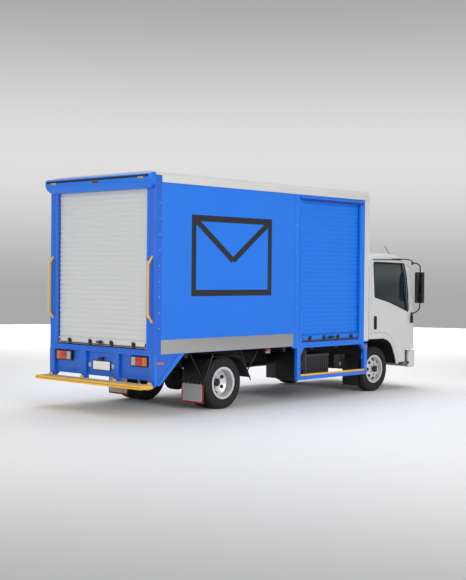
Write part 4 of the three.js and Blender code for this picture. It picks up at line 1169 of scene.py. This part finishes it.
    def mudguard(self, name: str, side: int) -> None:
        """Makes one mudguard with its pale, red-edged flap and the bolts above it.

        Args:
            name: The side's name, right or left.
            side: The sign of the side's Y.
        """
        node = f"mudguard_{name}"
        room = box(node)
        piece = Piece(f"{node}_body", "root", "black_plastic")
        piece.refine(node, PLASTIC, 1)
        x = room.lo.x + 0.238
        near, far = side * 0.570, side * 1.000
        middle, width = (near + far) / 2, abs(far - near)
        for finish, shrink, proud in ((RED_RUBBER, 0.0, 1.5), (WHITE_RUBBER, 0.050, 2.3),
                                      (FLAP_GREY, 0.066, 3.0)):
            outline = round_corners(width - shrink, 0.262 - shrink / 2, 0.024, (middle, 0.236 + shrink / 4))
            piece.prism(outline, Axis.X, x - proud * MM, x + 2 * MM, finish, 0.5)
        bolts = rivet(Vector((-1, 0, 0)), 8 * MM)
        piece.repeat(bolts, 5, (x, min(near, far) + 0.05, 0.375), (0, 0.082, 0))
        piece.done(node)

    def build(self) -> None:
        """Makes the rear end."""
        self.portal()
        self.hood()
        self.step()
        self.plate()
        for name, side in SIDES:
            self.lamp(name, side)
            self.grab_rail(name, side)
            self.mudguard(name, side)


@dataclass
class Shutters:
    """Both roller shutters: slat curtain, bottom bar, latch rod with knobs, lock and drum."""

    slat_pitch: float = 0.0665
    bulge: float = 9 * MM
    knobs: tuple[float, ...] = (0.14, 0.38, 0.62, 0.86)

    def slat(self, length: float, finish: Finish, along: Axis, out: float) -> Piece:
        """Makes one slat at the origin: a shallow crown between two narrow grooves.

        Args:
            length: How long the slat is.
            finish: Its finish.
            along: The way it runs.
            out: The sign of its outer face's direction.

        Returns:
            The slat.
        """
        shape = Piece("slat", "root", "")
        pitch = self.slat_pitch
        lip = 0.24 * pitch
        crown = [(out * self.bulge * math.sin(math.pi * t ** 0.6) ** 0.8, lip + (pitch - lip) * t)
                 for t in (i / 9 for i in range(1, 9))]
        outline = [(0, lip), *crown, (0, pitch), (-out * 3 * MM, pitch), (-out * 3 * MM, lip)]
        shape.prism(outline, along, -length / 2, length / 2, finish, 0)
        groove = [(0, 0), (0, lip), (-out * 3 * MM, lip), (-out * 3 * MM, 0)]
        shape.prism(groove, along, -length / 2, length / 2, finish, 0)
        return shape

    def curtain(self, node: str, slot: str, finish: Finish, along: Axis) -> None:
        """Makes a slat curtain from a row of slats.

        Args:
            node: The CAD node's name.
            slot: The record's material slot.
            finish: Its finish.
            along: The way that it runs.
        """
        room = box(node)
        length = room.size.y if along is Axis.Y else room.size.x
        count = int(room.size.z / self.slat_pitch)
        piece = Piece(f"{node}_slats", "root", slot)
        shape = self.slat(length, finish, along, -1)
        if along is Axis.Y:
            place = (room.lo.x + self.bulge + MM, room.centre.y, room.lo.z)
        else:
            place = (room.centre.x, room.lo.y + self.bulge + MM, room.lo.z)
        piece.repeat(shape, count, place, (0, 0, room.size.z / count))
        made = piece.done(node)
        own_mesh(made)

    def bar(self, node: str, body: str, slot: str, finish: Finish, along: Axis) -> None:
        """Makes a bottom bar with its latch rod, knob brackets, knobs and rubber foot.

        Args:
            node: The CAD node's name.
            body: The body that it moves with.
            slot: The record's material slot.
            finish: Its finish.
            along: The way that it runs.
        """
        room = box(node)
        piece = Piece(f"{node}_body", body, slot)
        piece.refine(node, finish, 3)
        rear = along is Axis.Y
        face = room.lo.x if rear else room.lo.y
        start, end = (room.lo.y, room.hi.y) if rear else (room.lo.x, room.hi.x)
        height = room.lo.z + 0.026

        def spot(across: float, out: float, z: float) -> tuple[float, float, float]:
            """Places a point across the bar, outwards from its face."""
            return (face - out, across, z) if rear else (across, face - out, z)

        rod = [spot(start + 0.03, 0.008, height + 0.05), spot(start + 0.032, 0.008, height + 0.01),
               spot(start + 0.06, 0.008, height), spot(end - 0.06, 0.008, height),
               spot(end - 0.032, 0.008, height + 0.01), spot(end - 0.03, 0.008, height + 0.05)]
        piece.rod(rod, 8 * MM, LATCH, 10)
        way = Vector((-1, 0, 0)) if rear else Vector((0, -1, 0))
        for share in self.knobs:
            across = start + (end - start) * share
            piece.slab(spot(across - 0.030, 0.006, height - 0.020),
                       spot(across + 0.030, -0.002, height + 0.052),
                       LATCH_DARK, 1.5)
            piece.lathe([(0, 0), (0.028, 0), (0.030, 0.010), (0.022, 0.017), (0, 0.018)],
                        spot(across + 0.012, 0.004, height + 0.036), LATCH_DARK, way, 20)
            piece.lathe([(0, 0), (0.013, 0), (0.011, 0.006), (0, 0.007)],
                        spot(across + 0.012, 0.021, height + 0.036), LATCH, way, 16)
        piece.slab(spot(start, -0.004, room.lo.z), spot(end, 0.001, room.lo.z + 0.012), SEAL, 1)
        piece.done(node)

    def build(self) -> None:
        """Makes both shutters."""
        self.curtain("rear_shutter_curtain", "shutter_silver", SILVER_SLAT, Axis.Y)
        self.curtain("side_shutter_curtain", "shutter_blue", BLUE_SLAT, Axis.X)
        self.bar("rear_shutter_bar", "rear_shutter", "shutter_silver", SILVER_SLAT, Axis.Y)
        self.bar("side_shutter_bar", "side_shutter", "shutter_blue", BLUE_SLAT, Axis.X)
        for place in ("rear", "side"):
            refined(f"{place}_shutter_drum", f"{place}_drum", "drum_steel", ZINC, 2)
            refined(f"{place}_shutter_handle", f"{place}_latch", "latch_metal", LATCH_DARK, 3)
        self.drip_lip()

    def drip_lip(self) -> None:
        """Makes the lip that sheds rain over the side doorway, and the guide covers beside the curtain."""
        room = box("side_shutter_bar")
        piece = Piece("side_doorway_lip", "root", "body_blue")
        skin = -PANEL_SKIN
        rear, front, top = room.lo.x - 0.055, room.hi.x + 0.055, 3.046
        outline = [(skin + MM, top), (skin + MM, top + 0.05), (skin - 0.022, top + 0.012),
                   (skin - 0.024, top - 0.022),
                   (skin - 0.018, top - 0.022), (skin - 0.016, top)]
        piece.prism(outline, Axis.X, rear, front, BLUE_PAINT, 1)
        # The lip's front edge in the deeper blue: painted shade of the shadow line over the doorway.
        piece.slab((rear, skin - 0.025, top - 0.024), (front, skin - 0.014, top + 0.006), RAIN_LIP_SHADE, 3)
        for x in (rear + 0.006, front - 0.052):
            piece.slab((x, skin - 4 * MM, room.lo.z + 0.03), (x + 0.046, skin + MM, top), BLUE_PAINT, 1.5)
        piece.done()


@dataclass
class Cab:
    """The cab's shell, doors, glass, lamps, mirrors, wipers and bumper."""

    handle_height: float = 0.22

    def shell(self) -> None:
        """Makes the cab shell with its gutters, sill strip and repeaters."""
        room = box("cab_shell")
        piece = Piece("cab_shell_body", "cab", "cab_white")
        piece.refine("cab_shell", WHITE_PAINT, 4)
        piece.recolour(CAB_TRIM, lambda at, way: abs(at.y) < 0.945 and at.z > 0.985 and 1.87 < at.x < 3.19
                       and way.dot(Vector((2.5, 0, 1.6)) - at) > 0)
        piece.recolour(FRAME_BLACK, lambda at, way: at.z < 0.93 and abs(at.y) < 0.985 and way.x < 0.5)
        piece.recolour(FRAME_BLACK, lambda at, way: at.z < 0.90 and at.x < 2.62 and abs(way.y) < 0.5)
        piece.recolour(PLASTIC, lambda at, _: abs(at.y) > 1.0008)
        for _, side in SIDES:
            line = [(1.91, side * 1.000, 2.166), (2.4, side * 1.002, 2.170), (2.70, side * 1.002, 2.168)]
            piece.rod(curve_through(line, 6), 7 * MM, SEAL, 8)
            arch = [(2.240, 0.866), (2.380, 0.820), (2.472, 0.740), (2.534, 0.624), (2.588, 0.502),
                    (2.598, 0.432)]
            piece.rod(curve_through([(x, side * 0.998, z) for x, z in arch], 5), 11 * MM, WHITE_PAINT, 10)
            piece.lathe([(0, 0), (0.03, 0), (0.028, 0.008), (0.018, 0.013), (0, 0.014)],
                        (2.992, side * 0.998, 0.64), CLEAR_LENS, Vector((0, side, 0)), 24)
        piece.done("cab_shell")
        LOG.info("cab is %.2f m high", room.size.z)

    def door(self, name: str, side: int) -> None:
        """Makes one door with its handle, belt seal, sill strip and pressed line.

        Args:
            name: The side's name, right or left.
            side: The sign of the side's Y.
        """
        node = f"door_{name}"
        room = box(node)
        piece = Piece(f"{node}_body", node, "cab_white")
        piece.refine(node, WHITE_PAINT, 4)
        y = room.hi.y if side > 0 else room.lo.y
        handle = room.lo.x + 0.112
        piece.prism(round_corners(0.062, self.handle_height, 0.02, (handle, 1.126)), Axis.Y, y - side * MM,
                    y + side * 0.018, PLASTIC, 3)
        piece.slab((handle - 0.012, y + side * 0.016, 1.05), (handle + 0.012, y + side * 0.030, 1.20),
                   PLASTIC, 4)
        frame_line = [(1.992, 1.545), (2.390, 1.462), (2.690, 1.370), (2.926, 1.300), (2.934, 1.330),
                      (2.915, 1.600),
                      (2.863, 1.890), (2.796, 2.088), (2.770, 2.104), (1.956, 2.118), (1.938, 2.100),
                      (1.980, 1.560),
                      (1.992, 1.545)]
        piece.rod([(x, y, z) for x, z in frame_line], 10 * MM, SEAL, 8)
        piece.slab((2.668, y - side * MM, 0.404), (2.966, y + side * 8 * MM, 0.446), PLASTIC, 3)
        piece.slab((2.780, y + side * 7 * MM, 0.414), (2.880, y + side * 11 * MM, 0.436), AMBER_LENS, 2)
        piece.done(node)
        refined(f"door_glass_{name}", f"door_glass_{name}", "glass", GLASS, 1)

    def mirror(self, name: str, side: int) -> None:
        """Makes one mirror with its soft housing, glass, arm and knuckles.

        Args:
            name: The side's name, right or left.
            side: The sign of the side's Y.
        """
        node = f"mirror_{name}"
        room = box(node)
        piece = Piece(f"{node}_body", node, "black_plastic")
        arm_y = side * 1.105
        line = [(3.010, side * 1.025, 2.112), (3.056, side * 1.056, 2.116), (3.102, side * 1.092, 2.090),
                (3.126, arm_y, 2.030), (3.126, arm_y, 1.700), (3.126, arm_y, 1.400),
                (3.112, side * 1.096, 1.330),
                (3.068, side * 1.066, 1.285), (3.010, side * 1.025, 1.252)]
        piece.rod(curve_through(line, 8), 11 * MM, PLASTIC, 14)
        for low in (1.225, 2.085):
            piece.rod([(3.010, side * 1.025, low), (3.010, side * 1.025, low + 0.055)], 17 * MM, PLASTIC,
                      20)
        lo, hi = Vector((3.086, side * 1.018, 1.436)), Vector((3.166, side * 1.174, 1.964))
        piece.slab(lo, hi, PLASTIC, 20)
        # The glass in near black: painted reflection of the road behind the truck.
        piece.slab((lo.x - 1.5 * MM, side * 1.034, 1.46), (lo.x + 3 * MM, side * 1.16, 1.94), MIRROR_PAINTED_REFLECTION,
                   1.2)
        piece.slab((lo.x - 2.5 * MM, side * 1.034, 1.60), (lo.x, side * 1.16, 1.606), PLASTIC, 0.5)
        piece.done(node)
        LOG.info("mirror %s spans %.3f m", name, room.size.z)

    def headlamp(self, name: str, side: int) -> None:
        """Makes one headlamp: its clear lens with two reflector bowls behind.

        Args:
            name: The side's name, right or left.
            side: The sign of the side's Y; it is not used.
        """
        node = f"headlamp_{name}"
        room = box(node)
        piece = Piece(f"{node}_body", "cab", "lamp_clear")
        piece.refine(node, CLEAR_LENS, 3)
        for offset, radius in ((-0.055, 0.062), (0.065, 0.048)):
            piece.lathe([(0, 0), (radius, 0), (radius, 0.004), (radius * 0.8, 0.006), (0, 0.002)],
                        (room.hi.x - 0.006, room.centre.y + offset, room.centre.z), RIM, Axis.X.value, 28)
        piece.done(node)

    def face(self) -> None:
        """Makes the windscreen, grille, bumper, wipers and antenna."""
        refined("windscreen", "cab", "glass", GLASS, 1)
        room = box("grille")
        grille = Piece("grille_body", "cab", "black_plastic")
        grille.refine("grille", PLASTIC, 3)
        bar = Piece("bar", "cab", "")
        bar.slab((room.hi.x - 0.014, room.lo.y + 0.04, -5 * MM),
                 (room.hi.x + 1 * MM, room.hi.y - 0.04, 5 * MM),
                 GREY_PLASTIC, 3)
        grille.repeat(bar, 6, (0, 0, room.lo.z + 0.04), (0, 0, 0.033))
        grille.done("grille")
        bumper = Piece("front_bumper_body", "root", "cab_white")
        bumper.refine("front_bumper", WHITE_PAINT, 5)
        front = box("front_bumper")
        bumper.slab((front.hi.x - 0.016, -0.55, 0.42), (front.hi.x - 0.002, 0.55, 0.52), PLASTIC, 5)
        for _, side in SIDES:
            bumper.slab((front.hi.x - 0.285, side * 0.945, 0.345), (front.hi.x - 0.10, side * 0.986, 0.632),
                        WHITE_PAINT, 8)
        bumper.done("front_bumper")
        for name in ("right", "left"):
            refined(f"wiper_{name}", f"wiper_{name}", "black_plastic", PLASTIC, 1)
        refined("antenna", "antenna", "black_plastic", PLASTIC, 0)

    def build(self) -> None:
        """Makes the cab."""
        self.shell()
        for name, side in SIDES:
            self.door(name, side)
            self.mirror(name, side)
            self.headlamp(name, side)
        self.face()


@dataclass
class Cabin:
    """The seats, dashboard and steering wheel."""

    fill: float = 0.75
    channel_pitch: float = 0.14

    def pad(self, name: str, lo: Point, hi: Point, lean: float, node: str) -> None:
        """Args:
            name: The piece's name.
            lo: Its lowest corner.
            hi: Its highest corner.
            lean: How far its top leans back, in metres.
            node: The CAD seat that it stands for.
        """
        low, high = Vector(lo), Vector(hi)
        size, middle = high - low, (low + high) / 2
        part = bmesh.new()
        bmesh.ops.create_cube(part, size=2.0)
        bmesh.ops.subdivide_edges(part, edges=part.edges, cuts=11, use_grid_fill=True)
        for vert in part.verts:
            u, v, w = vert.co
            crown = 1 - 0.055 * (u * u + v * v + w * w)
            channel = 0.012 * (1 + math.cos(2 * math.pi * v * size.y / 2 / self.channel_pitch))
            vert.co = Vector((middle.x + u * size.x / 2 * crown - lean * (w + 1) / 2,
                              middle.y + v * size.y / 2 * crown,
                              middle.z + w * (size.z / 2) * (crown - channel * (1 - abs(w)))))
        bmesh.ops.smooth_vert(part, verts=part.verts, factor=0.5, use_axis_x=True, use_axis_y=True,
                              use_axis_z=True)
        piece = Piece(name, "cab", "seat_fabric")
        piece.add(part, CLOTH)
        piece.done(node)

    def seat(self, node: str) -> None:
        """Makes a seat: moulded base, cushion and back.

        Args:
            node: The CAD node's name.
        """
        room = box(node)
        base = Piece(f"{node}_base", "cab", "seat_fabric")
        base.slab((room.lo.x + 0.07, room.lo.y + 0.05, room.lo.z), (room.hi.x - 0.09, room.hi.y - 0.05,
                  room.lo.z + 0.195), PLASTIC, 12)
        base.done(node)
        self.pad(f"{node}_cushion", (room.lo.x + 0.05, room.lo.y, room.lo.z + 0.195),
                 (room.hi.x, room.hi.y, room.lo.z + 0.318), 0.0, node)
        self.pad(f"{node}_back", (room.lo.x + 0.06, room.lo.y + 0.012, room.lo.z + 0.325),
                 (room.lo.x + 0.162, room.hi.y - 0.012, room.hi.z), 0.055, node)

    def build(self) -> None:
        """Makes the cabin's fittings."""
        for node in ("driver_seat", "passenger_seat"):
            self.seat(node)
        refined("dashboard", "cab", "black_plastic", PLASTIC, 8)
        refined("steering_wheel", "steering", "black_plastic", PLASTIC, 2)


@dataclass
class Emblem:
    """A plain envelope sign on each side panel and on nothing else. It belongs to no postal service."""

    width: float = 1.55
    height: float = 1.02
    stroke: float = 0.085

    def bar(self, piece: Piece, a: tuple[float, float], b: tuple[float, float], skin: float,
            depth: float) -> None:
        """Adds one stroke of the sign between two places on the panel.

        Args:
            piece: The piece that it is added to.
            a: Where it starts.
            b: Where it ends.
            skin: The panel's outer face.
            depth: How thick it is, outwards.
        """
        start, end = Vector(a), Vector(b)
        across = (end - start).orthogonal().normalized() * self.stroke / 2
        corners = [start + across, end + across, end - across, start - across]
        piece.prism([tuple(c) for c in corners], Axis.Y, skin, skin + depth, VINYL, 0)

    def build(self) -> None:
        """Puts the sign on both sides."""
        portal = box("rear_frame")
        for name, side in SIDES:
            piece = Piece(f"envelope_sign_{name}", "root", "black_plastic")
            skin = side * (PANEL_SKIN + 0.3 * MM)
            x, z = portal.lo.x + 1.5, 2.15
            left, right = x - self.width / 2, x + self.width / 2
            low, high = z - self.height / 2, z + self.height / 2
            half = self.stroke / 2
            strokes = (((left - half, low), (right + half, low)), ((right, low), (right, high)),
                       ((right + half, high), (left - half, high)), ((left, high), (left, low)),
                       ((left, high), (x, z - 0.06)), ((x, z - 0.06), (right, high)))
            for layer, (a, b) in enumerate(strokes):
                self.bar(piece, a, b, skin, side * (1.0 + 0.15 * layer) * MM)
            piece.done()


@dataclass
class Studio:
    """The pale floor, the soft lights and the camera."""

    eye: tuple[float, float, float] = (-12.952, -11.899, 1.903)
    yaw: float = 43.349
    pitch: float = -0.816
    roll: float = 0.523
    lens: float = 69.53
    tone: str = "ececec"
    reach: float = 24.5
    spread: float = 110.0
    lights: list[tuple[str, Point, Point, float, float]] = field(default_factory=lambda: [
        ("overhead", (1.5, 1.5, 9.0), (0.0, 0.0, 1.2), 8.0, 250.0),
        ("kerbside", (-3.0, -12.0, 6.0), (0.0, 0.0, 1.2), 7.0, 300.0),
        ("rear", (-13.0, 0.0, 5.0), (0.0, 0.0, 1.2), 6.0, 185.0),
        ("far_floor", (15.0, 14.0, 17.0), (16.0, 15.0, 0.0), 18.0, 3300.0),
    ])

    def floor(self) -> None:
        """Makes the floor, a wide plain disc."""
        finish = Finish("studio_floor", self.tone, 0.75, grain_mm=40, bump_mm=0.0, mottle=0.01, dust=0.0)
        mesh = bpy.data.meshes.new("floor")
        turns = [2 * math.pi * i / 128 for i in range(128)]
        mesh.from_pydata([(self.reach * math.cos(a), self.reach * math.sin(a), 0) for a in turns], [],
                         [tuple(range(128))])
        mesh.materials.append(finish.material())
        made = bpy.data.objects.new("floor", mesh)
        bpy.context.scene.collection.objects.link(made)

    def light(self) -> None:
        """Makes the sky and the soft boxes."""
        world = bpy.data.worlds.new("studio")
        world.use_nodes = True
        tree = world.node_tree
        up = add_node(tree, "ShaderNodeSeparateXYZ", None,
                      {0: add_node(tree, "ShaderNodeTexCoord").outputs["Generated"]}).outputs[2]
        rise = add_node(tree, "ShaderNodeMapRange", {1: -0.03, 2: 0.10, 3: 0.40, 4: 0.74}, {0: up},
                        interpolation_type="SMOOTHSTEP")
        fall = add_node(tree, "ShaderNodeMapRange", {1: 0.10, 2: 0.26, 3: 1.0, 4: 0.52}, {0: up},
                        interpolation_type="SMOOTHSTEP")
        fade = add_node(tree, "ShaderNodeMath", None, {0: rise.outputs[0], 1: fall.outputs[0]},
                        operation="MULTIPLY")
        back = tree.nodes["Background"]
        back.inputs[0].default_value = linear("ffffff")
        tree.links.new(fade.outputs[0], back.inputs[1])
        bpy.context.scene.world = world
        for name, place, target, size, power in self.lights:
            data = bpy.data.lights.new(name, "AREA")
            data.size, data.energy, data.spread = size, power, math.radians(self.spread)
            made = bpy.data.objects.new(name, data)
            made.location = place
            made.rotation_euler = (Vector(target) - Vector(place)).to_track_quat("-Z", "Y").to_euler()
            bpy.context.scene.collection.objects.link(made)

    def camera(self) -> None:
        """Sets the camera behind the truck on its kerb side."""
        yaw, pitch, roll = map(math.radians, (self.yaw, self.pitch, self.roll))
        ahead = Vector((math.cos(yaw) * math.cos(pitch), math.sin(yaw) * math.cos(pitch), math.sin(pitch)))
        flat = Vector((math.sin(yaw), -math.cos(yaw), 0))
        over = flat.cross(ahead)
        right = math.cos(roll) * flat + math.sin(roll) * over
        top = math.cos(roll) * over - math.sin(roll) * flat
        data = bpy.data.cameras.new("camera")
        data.sensor_width, data.lens, data.clip_end = 36.0, self.lens, 400.0
        made = bpy.data.objects.new("camera", data)
        made.matrix_world = Matrix((right, top, -ahead)).transposed().to_4x4()
        made.location = self.eye
        bpy.context.scene.collection.objects.link(made)
        bpy.context.scene.camera = made

    def build(self) -> None:
        """Makes the studio."""
        bpy.context.scene.view_settings.view_transform = "Standard"
        self.floor()
        self.light()
        self.camera()


def main() -> None:
    """Builds every sub-assembly in order."""
    logging.basicConfig(level=logging.INFO, format="%(message)s")
    for part in (Studio(), Wheels(), Chassis(), BoxBody(), RearEnd(), Shutters(), Cab(), Cabin(), Emblem()):
        LOG.info("building %s", type(part).__name__)
        part.build()


if __name__ == "__main__":
    main()
